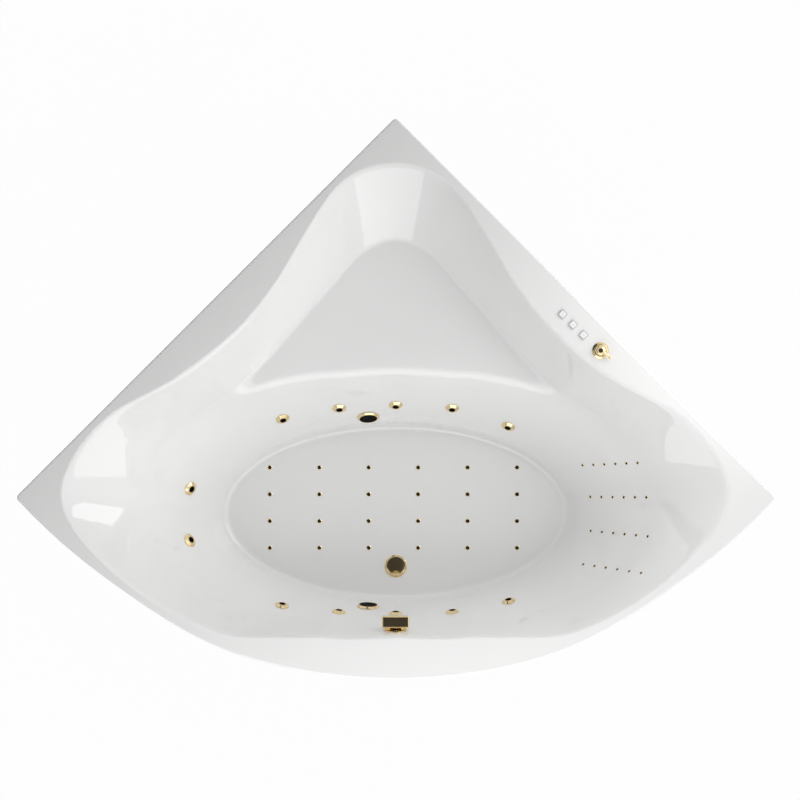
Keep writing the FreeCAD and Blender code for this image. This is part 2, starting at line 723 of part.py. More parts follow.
def wall_spot(wanted, allowed):
    """Surface parameters where two wanted coordinates are met."""
    def miss(point):
        return [getattr(point, axis) - amount for axis, amount in wanted]

    choice = [pair for pair in GRID if allowed(pair[1])]
    turn, step = min(choice, key=lambda pair: math.hypot(*miss(pair[1])))[0]
    for attempt in range(25):
        here = miss(INNER.value(turn, step))
        nudge = 0.001
        by_turn = miss(INNER.value(turn + nudge, step))
        by_step = miss(INNER.value(turn, step + nudge))
        a = (by_turn[0] - here[0]) / nudge
        b = (by_step[0] - here[0]) / nudge
        c = (by_turn[1] - here[1]) / nudge
        d = (by_step[1] - here[1]) / nudge
        spread = a * d - b * c
        turn -= (here[0] * d - here[1] * b) / spread
        step -= (here[1] * a - here[0] * c) / spread
    return turn % COLUMNS, step


def seat_frame(spot, travel, radius):
    """Placement on the wall: own Z into the water, own X along the travel."""
    point = INNER.value(*spot)
    normal = INNER.normal(*spot)
    if normal.z < 0:
        normal = -normal
    along = travel - normal * travel.dot(normal)
    along.normalize()
    across = normal.cross(along)
    lift = 0
    for index in range(16):
        turn = math.radians(FULL_TURN * index / 16)
        edge = point + (along * math.cos(turn) + across * math.sin(turn)) * radius
        near = INNER.value(*INNER.parameter(edge))
        lift = max(lift, (near - point).dot(normal))
    point = point + normal * (lift + mm("face_film"))
    return Placement(point, Rotation(along, across, normal, "ZXY"))


def front_half(point):
    return point.y < centre_y.value and abs(point.x) < half_length / 2


def rear_half(point):
    return point.y > centre_y.value and abs(point.x) < half_length / 2


def level_frame(x, depth, side, radius):
    """Seat on the front or rear wall at one X and one depth below the deck."""
    spot = wall_spot((("x", x), ("z", deck_z - depth)), side)
    travel = Vector(1, 0, 0) if side is front_half else Vector(-1, 0, 0)
    normal = INNER.normal(*spot)
    level = Vector(-normal.y, normal.x, 0)
    if level.dot(travel) < 0:
        level = -level
    return seat_frame(spot, level, radius)


def plan_frame(x, y, travel, radius):
    """Seat on an end wall straight below one plan position."""
    spot = wall_spot((("x", x), ("y", y)), lambda point: True)
    return seat_frame(spot, travel, radius)


def copies(master, frames):
    shapes = []
    for frame in frames:
        shape = master.Shape.copy()
        shape.Placement = frame.multiply(shape.Placement)
        shapes.append(shape)
    return shapes


def group(label, shapes):
    return node(label, free(label, Part.makeCompound(shapes)))


# Seats of every fitting on the wall, in the order the water line visits them
jet_radius = mm("jet_face_dia") / 2
jet_frames = []
for step in (2, 1, 0, -1, -2):
    depth = mm("rear_jet_deep") + (mm("end_jet_drop") if step == 2 else 0)
    jet_frames.append(level_frame(step * mm("jet_pitch"), depth, rear_half, jet_radius))
for offset in (mm("side_jet_back"), -mm("side_jet_fore")):
    jet_frames.append(plan_frame(-mm("side_jet_out"), centre_y.value + offset,
                                 Vector(0, -1, 0), jet_radius))
for step in (-2, -1, 0, 1, 2):
    depth = mm("front_jet_deep") + (mm("end_jet_drop") if step == 2 else 0)
    jet_frames.append(level_frame(step * mm("jet_pitch"), depth, front_half, jet_radius))

suction_radius = mm("suction_dia") / 2
front_suction = level_frame(-mm("suction_x"), mm("front_suction_deep"), front_half, suction_radius)
rear_suction = level_frame(-mm("suction_x"), mm("rear_suction_deep"), rear_half, suction_radius)
rear_suction = rear_suction.multiply(Placement(Vector(), Rotation(Vector(0, 0, 1), HALF_TURN)))

FLOOR_STEPS = 5
floor_rows = []
for row in range(4):
    travel = Vector(-1, 0, 0) if row % 2 == 0 else Vector(1, 0, 0)
    frames = []
    for step in range(FLOOR_STEPS + 1):
        x = (step - FLOOR_STEPS / 2) * mm("floor_pitch_x") - mm("floor_shift")
        y = centre_y.value + mm("floor_row_back") - row * mm("floor_pitch_y")
        across = Vector(0, 0, 1).cross(travel)
        frames.append(Placement(Vector(x, y, floor_z.value),
                                Rotation(travel, across, Vector(0, 0, 1), "ZXY")))
    if row % 2 == 0:
        frames.reverse()
    floor_rows.append(frames)

back_rows = []
for row in range(4):
    outer_row = row in (0, 3)
    sign = 1 if row < 2 else -1
    start_x = mm("back_outer_x") if outer_row else mm("back_inner_x")
    start_y = mm("back_outer_y") if outer_row else mm("back_inner_y")
    fan = mm("back_fan") if outer_row else mm("back_fan") / 2
    frames = []
    for step in range(6):
        share = step / 5
        x = start_x + share * mm("back_run")
        y = centre_y.value + sign * (start_y + share * fan)
        travel = Vector(mm("back_run"), sign * fan, 0)
        if row % 2 == 1:
            travel = -travel
        spot = wall_spot((("x", x), ("y", y)), lambda point: True)
        normal = INNER.normal(*spot)
        travel = travel - Vector(0, 0, travel.dot(normal) / normal.z)
        frames.append(seat_frame(spot, travel, mm("back_cap_dia") / 2))
    if row % 2 == 1:
        frames.reverse()
    back_rows.append(frames)

overflow_frame = level_frame(0, mm("overflow_deep"), front_half, mm("overflow_plate") / 2)
drain_y = centre_y - cell("drain_fore")


def edge_place(along, inset):
    """Point on the deck measured along the right wall edge and in from it."""
    x = (along - inset) / ROOT_TWO
    y = apex_y - (along + inset) / ROOT_TWO
    return x, y


def drill(frame, dia):
    """Cylinder through the wall at one seat."""
    reach = mm("shell_wall") + 3 * mm("cut_over")
    tool = Part.makeCylinder(dia / 2 + mm("hole_gap"), 2 * reach, Vector(0, 0, -reach))
    tool.Placement = frame
    return tool


button_spots = [edge_place(cell("button_along") + cell("button_pitch") * step, cell("control_in"))
                for step in range(3)]
valve_x, valve_y = edge_place(cell("valve_along"), cell("valve_in"))
drills = [drill(frame, mm("neck_dia")) for frame in jet_frames]
drills += [drill(frame, mm("suction_neck")) for frame in (front_suction, rear_suction)]
drills += [drill(frame, mm("floor_stem")) for row in floor_rows for frame in row]
drills += [drill(frame, mm("back_stem")) for row in back_rows for frame in row]
drills.append(drill(overflow_frame, mm("overflow_neck")))
drills.append(drill(Placement(Vector(0, drain_y.value, floor_z.value), Rotation()), mm("drain_throat")))
for x, y in button_spots:
    drills.append(drill(Placement(Vector(x.value, y.value, deck_z), Rotation()), mm("button_stem")))
drills.append(drill(Placement(Vector(valve_x.value, valve_y.value, deck_z), Rotation()), mm("valve_neck")))
tub = raw_shell().cut(drills)
node("tub_shell", free("tub_shell", tub.Solids[0]))

# Welded frame of square tube
side = cell("tube_side")
bore = side - cell("tube_wall") * 2
low = cell("frame_low")
high = low + side
deck_under = rim - cell("shell_wall")
main_y = centre_y + cell("main_rail_back")
front_y = centre_y - cell("front_rail_fore")
rail_rear = centre_y + cell("board_back") + cell("board_deep") - cell("rail_short")
rear_post_y = apex_y - cell("corner_post_in")
tip_post_x = half_tips - cell("tip_post_in")


def tube(name, base, spans, way):
    """Square tube along X, Y or Z, open at both ends."""
    wall = cell("tube_wall")
    over = cell("cut_over")
    inner_base = []
    inner_spans = []
    for letter, start, span in zip("XYZ", base, spans):
        if letter == way:
            inner_base.append(as_size(start) - over)
            inner_spans.append(span + over * 2)
        else:
            inner_base.append(as_size(start) + wall)
            inner_spans.append(span - wall * 2)
    return cut(name, box(name + "_block", base, spans), [box(name + "_hollow", inner_base, inner_spans)])


half = side / 2
rails = [
    tube("main_rail", (-(tip_post_x + half), main_y - half, low),
         ((tip_post_x + half) * 2, side, side), "X"),
    tube("front_rail", (-(cell("side_rail_x") + side), front_y - half, low),
         ((cell("side_rail_x") + side) * 2, side, side), "X"),
    tube("left_rail", (-(cell("side_rail_x") + half), front_y - side, high),
         (side, rail_rear - front_y + side, side), "Y"),
    tube("right_rail", (cell("side_rail_x") - half, front_y - side, high),
         (side, rail_rear - front_y + side, side), "Y"),
    tube("corner_rail", (-half, main_y + half, low), (side, rear_post_y - main_y, side), "Y"),
    tube("left_post", (-(tip_post_x + half), main_y - half, high), (side, side, deck_under - high), "Z"),
    tube("right_post", (tip_post_x - half, main_y - half, high), (side, side, deck_under - high), "Z"),
    tube("corner_post", (-half, rear_post_y - half, high), (side, side, deck_under - high), "Z"),
]
foot_spots = {
    "foot_left": (-tip_post_x, main_y), "foot_right": (tip_post_x, main_y),
    "foot_corner": (ZERO, rear_post_y),
    "foot_front_left": (-cell("side_rail_x"), front_y),
    "foot_front_right": (cell("side_rail_x"), front_y)}
stud_holes = [rod(label + "_hole", cell("stud_dia") + cell("hole_gap") * 2, cell("tube_wall") * 3,
                  (x, y, low - cell("tube_wall"))) for label, (x, y) in foot_spots.items()]
node("frame", cut("frame", bundle("frame_tubes", rails), stud_holes))

# Levelling feet and their nuts
nuts = []
for label, (x, y) in foot_spots.items():
    foot = turned(label, [
        (ZERO, ZERO), (cell("pad_dia") / 2, ZERO), (cell("pad_dia") / 2, cell("pad_high") / 2),
        (cell("stud_dia"), cell("pad_high")), (cell("stud_dia") / 2, cell("pad_high")),
        (cell("stud_dia") / 2, low + cell("stud_into")), (ZERO, low + cell("stud_into"))])
    node(label, put(foot, (x, y, ZERO)))
    nut = hexagon(label + "_nut", cell("foot_nut_flats"), cell("foot_nut_high"),
                  (x, y, low - cell("foot_nut_high")))
    thread = rod(label + "_thread", cell("stud_dia") + cell("thread_gap") * 2,
                 cell("foot_nut_high") + cell("cut_over") * 2,
                 (x, y, low - cell("foot_nut_high") - cell("cut_over")))
    nuts.append(cut(label + "_nut_cut", nut, [thread]))
node("foot_nuts", bundle("foot_nuts", nuts))

# Wooden battens between the frame and the basin floor
batten_under = high + side
batten_half = cell("floor_pitch_x") * FLOOR_STEPS / 2 + cell("batten_over")
first_gap = cell("floor_row_back") - cell("floor_pitch_y") / 2
battens = [box("batten_" + str(row + 1),
               (-batten_half,
                centre_y + first_gap - cell("floor_pitch_y") * row - cell("batten_wide") / 2, batten_under),
               (batten_half * 2, cell("batten_wide"), cell("batten_high")))
           for row in range(3)]
node("floor_battens", bundle("floor_battens", battens))

# Equipment board across the long tubes, under the seat
board_top = batten_under + cell("board_thick")
board_y = centre_y + cell("board_back")
board_half = cell("side_rail_x") + half + cell("board_over")
node("equipment_board", box("equipment_board", (-board_half, board_y, batten_under),
                            (board_half * 2, cell("board_deep"), cell("board_thick"))))

# Hydro jets
jet_bezel = turned("jet_bezel_master", [
    (cell("jet_mouth_dia") / 2, cell("jet_face_high")), (cell("neck_bore") / 2, ZERO),
    (cell("neck_bore") / 2, -cell("neck_long")), (cell("neck_dia") / 2, -cell("neck_long")),
    (cell("neck_dia") / 2, ZERO), (cell("jet_face_dia") / 2, ZERO),
    (cell("jet_face_dia") / 2, cell("jet_edge_high")), (cell("jet_brow"), cell("jet_face_high"))])
softened(jet_bezel, cell("jet_brow"), cell("jet_face_high"), cell("jet_edge_high"))
ball = doc.addObject("Part::Sphere", "nozzle_ball")
bind(ball, "Radius", cell("ball_dia") / 2)
slab_side = cell("ball_dia") + cell("cut_over")
slab = box("nozzle_slab", (-(slab_side / 2), -(slab_side / 2), -cell("ball_flat")),
           (slab_side, slab_side, cell("ball_flat") * 2))
trimmed = doc.addObject("Part::MultiCommon", "nozzle_trimmed")
trimmed.Shapes = [ball, slab]
flare = doc.addObject("Part::Cone", "nozzle_flare_cut")
bind(flare, "Radius1", cell("nozzle_bore") / 2)
bind(flare, "Radius2", cell("nozzle_flare") / 2)
bind(flare, "Height", cell("nozzle_flare_deep"))
put(flare, (ZERO, ZERO, cell("ball_flat") - cell("nozzle_flare_deep")))
through = rod("nozzle_through", cell("nozzle_bore"), cell("ball_dia"), (ZERO, ZERO, -(cell("ball_dia") / 2)))
jet_nozzle = cut("jet_nozzle_master", trimmed, [fuse("nozzle_bores", [flare, through])])

X_WAY = Vector(1, 0, 0)
Y_WAY = Vector(0, 1, 0)


def clamp_body(name, sizes):
    """Fitting body behind the wall: turned clamp and stem with cross barrels."""
    stem = turned(name + "_stem", sizes["profile"])
    barrels = [rod(name + "_barrel_" + str(index), dia, length, (-(length / 2), ZERO, -deep), X_WAY)
               for index, (dia, bore_dia, length, deep) in enumerate(sizes["barrels"])]
    bores = [rod(name + "_bore_" + str(index), bore_dia, length + cell("cut_over") * 2,
                 (-(length / 2 + cell("cut_over")), ZERO, -deep), X_WAY)
             for index, (dia, bore_dia, length, deep) in enumerate(sizes["barrels"])]
    centre_deep = sizes["barrels"][0][3]
    bores.append(rod(name + "_well", sizes["well"], centre_deep - sizes["well_top"],
                     (ZERO, ZERO, -centre_deep)))
    return cut(name, fuse(name + "_whole", [stem] + barrels), [fuse(name + "_bores", bores)])


jet_body = clamp_body("jet_body_master", {
    "profile": [
        (ZERO, -cell("seat_front")), (cell("seat_tube_dia") / 2, -cell("seat_front")),
        (cell("seat_tube_dia") / 2, -cell("thread_floor")),
        (cell("neck_dia") / 2 + cell("thread_gap"), -cell("thread_floor")),
        (cell("neck_dia") / 2 + cell("thread_gap"), -cell("flange_back")),
        (cell("flange_dia") / 2, -cell("flange_back")),
        (cell("flange_dia") / 2, -(cell("flange_back") + cell("flange_thick"))),
        (cell("stem_dia") / 2, -(cell("flange_back") + cell("flange_thick"))),
        (cell("stem_dia") / 2, -cell("water_deep")), (ZERO, -cell("water_deep"))],
    "barrels": [(cell("water_dia"), cell("water_bore"), cell("barrel_long"), cell("water_deep")),
                (cell("air_dia"), cell("air_bore"), cell("barrel_long"), cell("air_deep"))],
    "well": cell("seat_bore"), "well_top": cell("seat_front") - cell("cut_over")})

# Suction fittings
suction_ring = turned("suction_ring_master", [
    (cell("suction_core") / 2 + cell("core_slack"), cell("suction_high")),
    (cell("suction_core") / 2 + cell("core_slack"), cell("core_ledge")),
    (cell("suction_neck_bore") / 2, cell("core_ledge")),
    (cell("suction_neck_bore") / 2, -cell("neck_long")),
    (cell("suction_neck") / 2, -cell("neck_long")), (cell("suction_neck") / 2, ZERO),
    (cell("suction_dia") / 2, ZERO), (cell("suction_dia") / 2, cell("suction_edge")),
    (cell("suction_core") / 2 + cell("suction_high") / 2, cell("suction_high"))])
softened(suction_ring, cell("suction_core") / 2 + cell("suction_high") / 2, cell("suction_high"),
         cell("suction_edge"))
core_disc = rod("suction_core_disc", cell("suction_core"), cell("core_thick"),
                (ZERO, ZERO, cell("core_ledge")))
core_holes = []
for count, ring in ((1, ZERO), (8, cell("core_ring_a")), (16, cell("core_ring_b"))):
    for index in range(count):
        turn = math.radians(FULL_TURN * index / count)
        core_holes.append(rod("core_hole_" + str(len(core_holes)), cell("core_hole"),
                              cell("core_thick") + cell("cut_over") * 2,
                              (ring * math.cos(turn), ring * math.sin(turn),
                               cell("core_ledge") - cell("cut_over"))))
suction_core = cut("suction_core_master", core_disc, core_holes)
suction_body = clamp_body("suction_body_master", {
    "profile": [
        (ZERO, -cell("thread_floor")),
        (cell("suction_neck") / 2 + cell("thread_gap"), -cell("thread_floor")),
        (cell("suction_neck") / 2 + cell("thread_gap"), -cell("flange_back")),
        (cell("suction_flange") / 2, -cell("flange_back")),
        (cell("suction_flange") / 2, -(cell("flange_back") + cell("flange_thick"))),
        (cell("suction_stem") / 2, -(cell("flange_back") + cell("flange_thick"))),
        (cell("suction_stem") / 2, -cell("suction_deep")), (ZERO, -cell("suction_deep"))],
    "barrels": [(cell("suction_pipe"), cell("suction_bore"), cell("suction_long"), cell("suction_deep"))],
    "well": cell("suction_neck_bore"), "well_top": cell("thread_floor") - cell("cut_over")})


def air_cap(name, kind):
    """Small domed air outlet with a drilled stem."""
    return turned(name, [
        (cell(kind + "_cap_bore") / 2, cell(kind + "_cap_high")),
        (cell(kind + "_cap_bore") / 2, -cell(kind + "_stem_long")),
        (cell(kind + "_stem") / 2, -cell(kind + "_stem_long")), (cell(kind + "_stem") / 2, ZERO),
        (cell(kind + "_cap_dia") / 2, ZERO), (cell(kind + "_cap_dia") / 2, cell(kind + "_cap_high") / 3),
        (cell(kind + "_cap_flat") / 2, cell(kind + "_cap_high"))])


def air_body(name, kind):
    top = cell(kind + "_body_top")
    below = top + cell(kind + "_body_thick")
    floor = cell(kind + "_stem_long") + cell("thread_gap") * 4
    return clamp_body(name, {
        "profile": [
            (ZERO, -floor), (cell(kind + "_stem") / 2 + cell("thread_gap"), -floor),
            (cell(kind + "_stem") / 2 + cell("thread_gap"), -top),
            (cell(kind + "_body_dia") / 2, -top), (cell(kind + "_body_dia") / 2, -below),
            (cell(kind + "_pipe") / 2 * 0.9, -below),
            (cell(kind + "_pipe") / 2 * 0.9, -cell(kind + "_pipe_deep")),
            (ZERO, -cell(kind + "_pipe_deep"))],
        "barrels": [(cell(kind + "_pipe"), cell(kind + "_pipe_bore"), cell(kind + "_barrel"),
                     cell(kind + "_pipe_deep"))],
        "well": cell(kind + "_cap_bore"), "well_top": cell(kind + "_stem_long")})


floor_cap = air_cap("floor_cap_master", "floor")
floor_body = air_body("floor_body_master", "floor")
back_cap = air_cap("back_cap_master", "back")
back_body = air_body("back_body_master", "back")

# Deck buttons
frame_side = cell("button_side")
cap_side = cell("button_cap")
pocket_side = cap_side + cell("button_slack") * 2
cap_low = cell("button_rim") + cell("button_stand") - cell("button_cap_thick")
pocket_low = cap_low - cell("button_travel") - cell("button_slack")
frame_block = box("button_block", (-(frame_side / 2), -(frame_side / 2), ZERO),
                  (frame_side, frame_side, cell("button_rim")))
frame_stem = rod("button_stem_rod", cell("button_stem"), cell("button_stem_long"),
                 (ZERO, ZERO, -cell("button_stem_long")))
frame_pocket = box("button_pocket", (-(pocket_side / 2), -(pocket_side / 2), pocket_low),
                   (pocket_side, pocket_side, cell("button_rim")))
frame_guide = rod("button_guide", cell("plunger_dia") + cell("thread_gap") * 2,
                  cell("button_stem_long"), (ZERO, ZERO, pocket_low - cell("button_stem_long")))
button_frame = cut("button_frame_master", fuse("button_frame_whole", [frame_block, frame_stem]),
                   [fuse("button_frame_hollow", [frame_pocket, frame_guide])])
cap_block = box("button_cap_block", (-(cap_side / 2), -(cap_side / 2), cap_low),
                (cap_side, cap_side, cell("button_cap_thick")))
cap_plunger = rod("button_plunger", cell("plunger_dia"), cell("plunger_long"),
                  (ZERO, ZERO, cap_low - cell("plunger_long")))
button_master = fuse("button_master", [cap_block, cap_plunger])
button_nut = cut("button_nut_master",
                 hexagon("button_nut_block", cell("deck_nut_flats"), cell("deck_nut_high"),
                         (ZERO, ZERO, -(cell("shell_wall") + cell("deck_nut_high")))),
                 [rod("button_nut_thread", cell("button_stem") + cell("thread_gap") * 2,
                      cell("deck_nut_high") * 3,
                      (ZERO, ZERO, -(cell("shell_wall") + cell("deck_nut_high") * 2)))])
valve_nut = cut("valve_nut_master",
                hexagon("valve_nut_block", cell("valve_nut_flats"), cell("deck_nut_high"),
                        (ZERO, ZERO, -(cell("shell_wall") + cell("deck_nut_high")))),
                [rod("valve_nut_thread", cell("valve_neck") + cell("thread_gap") * 2,
                     cell("deck_nut_high") * 3,
                     (ZERO, ZERO, -(cell("shell_wall") + cell("deck_nut_high") * 2)))])
doc.recompute()

# Groups of like fittings at their seats
for index, frame in enumerate(jet_frames, start=1):
    label = "jet_nozzle_" + str(index).zfill(2)
    nozzle = free(label, jet_nozzle.Shape.copy())
    nozzle.Placement = frame
    node(label, nozzle)
group("jet_bezels", copies(jet_bezel, jet_frames))
group("jet_bodies", copies(jet_body, jet_frames))
group("suction_rings", copies(suction_ring, [front_suction, rear_suction]))
group("suction_grilles", copies(suction_core, [front_suction, rear_suction]))
group("suction_bodies", copies(suction_body, [front_suction, rear_suction]))
all_floor = [frame for row in floor_rows for frame in row]
all_back = [frame for row in back_rows for frame in row]
group("floor_air_caps", copies(floor_cap, all_floor))
group("floor_air_bodies", copies(floor_body, all_floor))
group("back_air_caps", copies(back_cap, all_back))
group("back_air_bodies", copies(back_body, all_back))
EIGHTH_TURN = 45
deck_turn = Rotation(Vector(0, 0, 1), -EIGHTH_TURN)
button_frames = [Placement(Vector(x.value, y.value, deck_z), deck_turn) for x, y in button_spots]
valve_frame = Placement(Vector(valve_x.value, valve_y.value, deck_z), deck_turn)
group("button_housings", copies(button_frame, button_frames))
for index, frame in enumerate(button_frames, start=1):
    label = "button_" + str(index)
    button = free(label, button_master.Shape.copy())
    button.Placement = frame
    node(label, button)
group("deck_nuts", copies(button_nut, button_frames) + copies(valve_nut, [valve_frame]))

# Air valve on the deck, its lever at rest a few degrees off square to the wall edge
LEVER_REST = 7
valve_base = turned("air_valve_base", [
    (cell("valve_post_dia") / 2 + cell("thread_gap"), cell("valve_base_high")),
    (cell("valve_post_dia") / 2 + cell("thread_gap"), -cell("valve_neck_long")),
    (cell("valve_neck") / 2, -cell("valve_neck_long")), (cell("valve_neck") / 2, ZERO),
    (cell("valve_base_dia") / 2, ZERO), (cell("valve_base_dia") / 2, cell("valve_edge_high")),
    (cell("valve_brow"), cell("valve_base_high"))])
softened(valve_base, cell("valve_brow"), cell("valve_base_high"), cell("valve_edge_high"))
node("air_valve_base", put(valve_base, (valve_x, valve_y, rim)))
cap_under = cell("valve_base_high") + cell("face_film")
lever_cap = turned("lever_cap", [
    (ZERO, cap_under + cell("valve_cap_high")),
    (cell("valve_cap_dia") / 2, cap_under + cell("valve_cap_high")), (cell("valve_cap_dia") / 2, cap_under),
    (cell("valve_post_dia") / 2, cap_under), (cell("valve_post_dia") / 2, -(cell("valve_neck_long") / 2)),
    (ZERO, -(cell("valve_neck_long") / 2))])
softened(lever_cap, cell("valve_cap_dia") / 2, cap_under + cell("valve_cap_high"), cell("valve_cap_round"))
arm_high = cap_under + cell("valve_cap_high") / 2
lever_arm = doc.addObject("Part::Cone", "lever_arm")
bind(lever_arm, "Radius1", cell("lever_root") / 2)
bind(lever_arm, "Radius2", cell("lever_dia") / 2)
bind(lever_arm, "Height", cell("lever_long"))
put(lever_arm, (ZERO, ZERO, arm_high), X_WAY)
lever_ball = doc.addObject("Part::Sphere", "lever_ball")
bind(lever_ball, "Radius", cell("lever_tip") / 2)
put(lever_ball, (cell("lever_long"), ZERO, arm_high))
lever = fuse("air_valve_lever", [lever_cap, lever_arm, lever_ball])
doc.recompute()
lever.Placement = Placement(Vector(), deck_turn.multiply(Rotation(Vector(0, 0, 1), LEVER_REST)))
for letter, amount in zip("xyz", (valve_x, valve_y, rim)):
    bind(lever, "Placement.Base." + letter, amount)
node("air_valve_lever", lever)
chamber_top = -cell("valve_neck_long")
chamber_low = chamber_top - cell("valve_body_long")
spout_low = chamber_low - cell("valve_neck_long")
valve_body = turned("air_valve_body", [
    (cell("valve_post_dia") / 2, chamber_top), (cell("valve_body_dia") / 2, chamber_top),
    (cell("valve_body_dia") / 2, chamber_low), (cell("air_dia") / 2, chamber_low),
    (cell("air_dia") / 2, spout_low), (cell("air_bore") / 2, spout_low),
    (cell("air_bore") / 2, chamber_low + cell("trap_wall")),
    (cell("valve_post_dia") / 2, chamber_low + cell("trap_wall"))])
node("air_valve_body", put(valve_body, (valve_x, valve_y, rim)))

# Drain, plug and trap
drain_flange = turned("drain_flange", [
    (cell("drain_bore") / 2, cell("drain_high")), (cell("drain_bore") / 2, -cell("drain_throat_long")),
    (cell("drain_throat") / 2, -cell("drain_throat_long")), (cell("drain_throat") / 2, ZERO),
    (cell("drain_dia") / 2, ZERO), (cell("drain_dia") / 2, cell("drain_edge")),
    (cell("drain_dia") / 2 - cell("drain_high"), cell("drain_high"))])
node("drain_flange", put(drain_flange, (ZERO, drain_y, floor_z)))
plug_low = cell("drain_high") + cell("face_film")
plug_top = plug_low + cell("plug_high")
plug_blank = turned("plug_blank", [
    (ZERO, plug_top), (cell("plug_dia") / 2 - cell("plug_edge"), plug_top),
    (cell("plug_dia") / 2 - cell("plug_edge"), plug_low + cell("plug_edge") * 2),
    (cell("plug_dia") / 2, plug_low + cell("plug_edge")), (cell("plug_dia") / 2, plug_low),
    (cell("plug_stem") / 2, plug_low), (cell("plug_stem") / 2, -cell("plug_stem_long")),
    (ZERO, -cell("plug_stem_long"))])
plug_dome = doc.addObject("Part::Sphere", "plug_dome")
bind(plug_dome, "Radius", cell("plug_dome"))
put(plug_dome, (ZERO, ZERO, plug_top - cell("plug_dome")))
drain_plug = doc.addObject("Part::MultiCommon", "drain_plug")
drain_plug.Shapes = [plug_blank, plug_dome]
node("drain_plug", put(drain_plug, (ZERO, drain_y, floor_z)))
collar_low = -(cell("trap_collar_top") + cell("trap_collar_high"))
cup_low = -cell("trap_drop")
trap_cup = turned("trap_cup_turned", [
    (cell("drain_throat") / 2 + cell("thread_gap"), -cell("trap_collar_top")),
    (cell("trap_collar") / 2, -cell("trap_collar_top")), (cell("trap_collar") / 2, collar_low),
    (cell("trap_cup") / 2, collar_low), (cell("trap_cup") / 2, cup_low), (ZERO, cup_low),
    (ZERO, cup_low + cell("trap_wall")),
    (cell("trap_cup") / 2 - cell("trap_wall"), cup_low + cell("trap_wall")),
    (cell("trap_cup") / 2 - cell("trap_wall"), collar_low - cell("trap_wall")),
    (cell("drain_throat") / 2 + cell("thread_gap"), collar_low - cell("trap_wall"))])
cup_hollow = rod("cup_hollow", cell("trap_cup") - cell("trap_wall") * 2,
                 collar_low - cup_low - cell("trap_wall") * 2, (ZERO, ZERO, cup_low + cell("trap_wall")))
outlet_z = -cell("outlet_drop")
inlet_z = -cell("inlet_drop")
cable_x = cell("overflow_pipe") / 2 + cell("cable_side")
outlet_shoulder = rod("outlet_shoulder", cell("shoulder_dia"), cell("trap_cup") / 2 + cell("shoulder_long"),
                      (ZERO, ZERO, outlet_z), X_WAY)
outlet_pipe = rod("outlet_pipe", cell("outlet_dia"), cell("outlet_long"), (ZERO, ZERO, outlet_z), X_WAY)
outlet_bore = rod("outlet_bore_cut", cell("outlet_dia") - cell("trap_wall") * 2,
                  cell("outlet_long") + cell("cut_over"), (ZERO, ZERO, outlet_z), X_WAY)
inlet_pipe = rod("inlet_pipe", cell("overflow_pipe"), cell("inlet_reach"),
                 (ZERO, -cell("inlet_reach"), inlet_z), Y_WAY)
inlet_bore = rod("inlet_bore_cut", cell("overflow_bore"), cell("inlet_reach") + cell("cut_over"),
                 (ZERO, -(cell("inlet_reach") + cell("cut_over")), inlet_z), Y_WAY)
cable_stub = rod("cable_stub", cell("cable_stub"), cell("inlet_reach"),
                 (cable_x, -cell("inlet_reach"), inlet_z), Y_WAY)
trap_whole = fuse("trap_whole", [trap_cup, outlet_shoulder, outlet_pipe, inlet_pipe, cable_stub])
drain_trap = cut("drain_trap", trap_whole, [fuse("trap_bores", [cup_hollow, outlet_bore, inlet_bore])])
node("drain_trap", put(drain_trap, (ZERO, drain_y, floor_z)))

# Overflow with the turning knob that lifts the plug
overflow_plate = turned("overflow_plate_master", [
    (cell("overflow_neck_bore") / 2, cell("overflow_plate_high")),
    (cell("overflow_neck_bore") / 2, -cell("neck_long")), (cell("overflow_neck") / 2, -cell("neck_long")),
    (cell("overflow_neck") / 2, ZERO), (cell("overflow_plate") / 2, ZERO),
    (cell("overflow_plate") / 2, cell("overflow_plate_high"))])
knob_way = overflow_frame.Rotation.multVec(Vector(0, 0, 1))
knob_spans = Vector(mm("knob_wide"), mm("knob_deep"), mm("knob_tall"))
knob_reach = (mm("overflow_plate_high") + mm("knob_gap")
              + (knob_way.y * knob_spans.y + knob_way.z * knob_spans.z) / 2)
knob_middle = overflow_frame.Base + knob_way * knob_reach
knob_bar = Part.makeBox(knob_spans.x, knob_spans.y, knob_spans.z, knob_middle - knob_spans / 2)
knob_bar = knob_bar.makeFillet(mm("knob_round"), knob_bar.Edges)
post_low = mm("thread_floor") + mm("knob_post")
knob_post = Part.makeCylinder(mm("knob_post") / 2, post_low + knob_reach,
                              overflow_frame.Base - knob_way * post_low, knob_way)
node("overflow_knob", free("overflow_knob", knob_bar.fuse(knob_post).removeSplitter()))
chamber_master = turned("overflow_chamber_master", [
    (cell("knob_post") / 2 + cell("thread_gap"), -cell("thread_floor")),
    (cell("overflow_neck") / 2 + cell("thread_gap"), -cell("thread_floor")),
    (cell("overflow_neck") / 2 + cell("thread_gap"), -cell("flange_back")),
    (cell("overflow_shell") / 2, -cell("flange_back")), (cell("overflow_shell") / 2, -cell("overflow_reach")),
    (ZERO, -cell("overflow_reach")), (ZERO, -(cell("overflow_reach") - cell("trap_wall"))),
    (cell("overflow_neck") / 2, -(cell("overflow_reach") - cell("trap_wall"))),
    (cell("overflow_neck") / 2, -(cell("thread_floor") + cell("trap_wall"))),
    (cell("knob_post") / 2 + cell("thread_gap"), -(cell("thread_floor") + cell("trap_wall")))])
doc.recompute()
overflow_face = free("overflow_face", overflow_plate.Shape.copy())
overflow_face.Placement = overflow_frame
node("overflow_face", overflow_face)
spout_top = overflow_frame.multVec(Vector(0, 0, -mm("overflow_reach") + mm("spout_in")))
spout_end = spout_top - Vector(0, 0, mm("overflow_down"))
cable_end = spout_end + Vector(cable_x.value, 0, 0)
DOWN = Vector(0, 0, -1)
chamber = copies(chamber_master, [overflow_frame])[0]
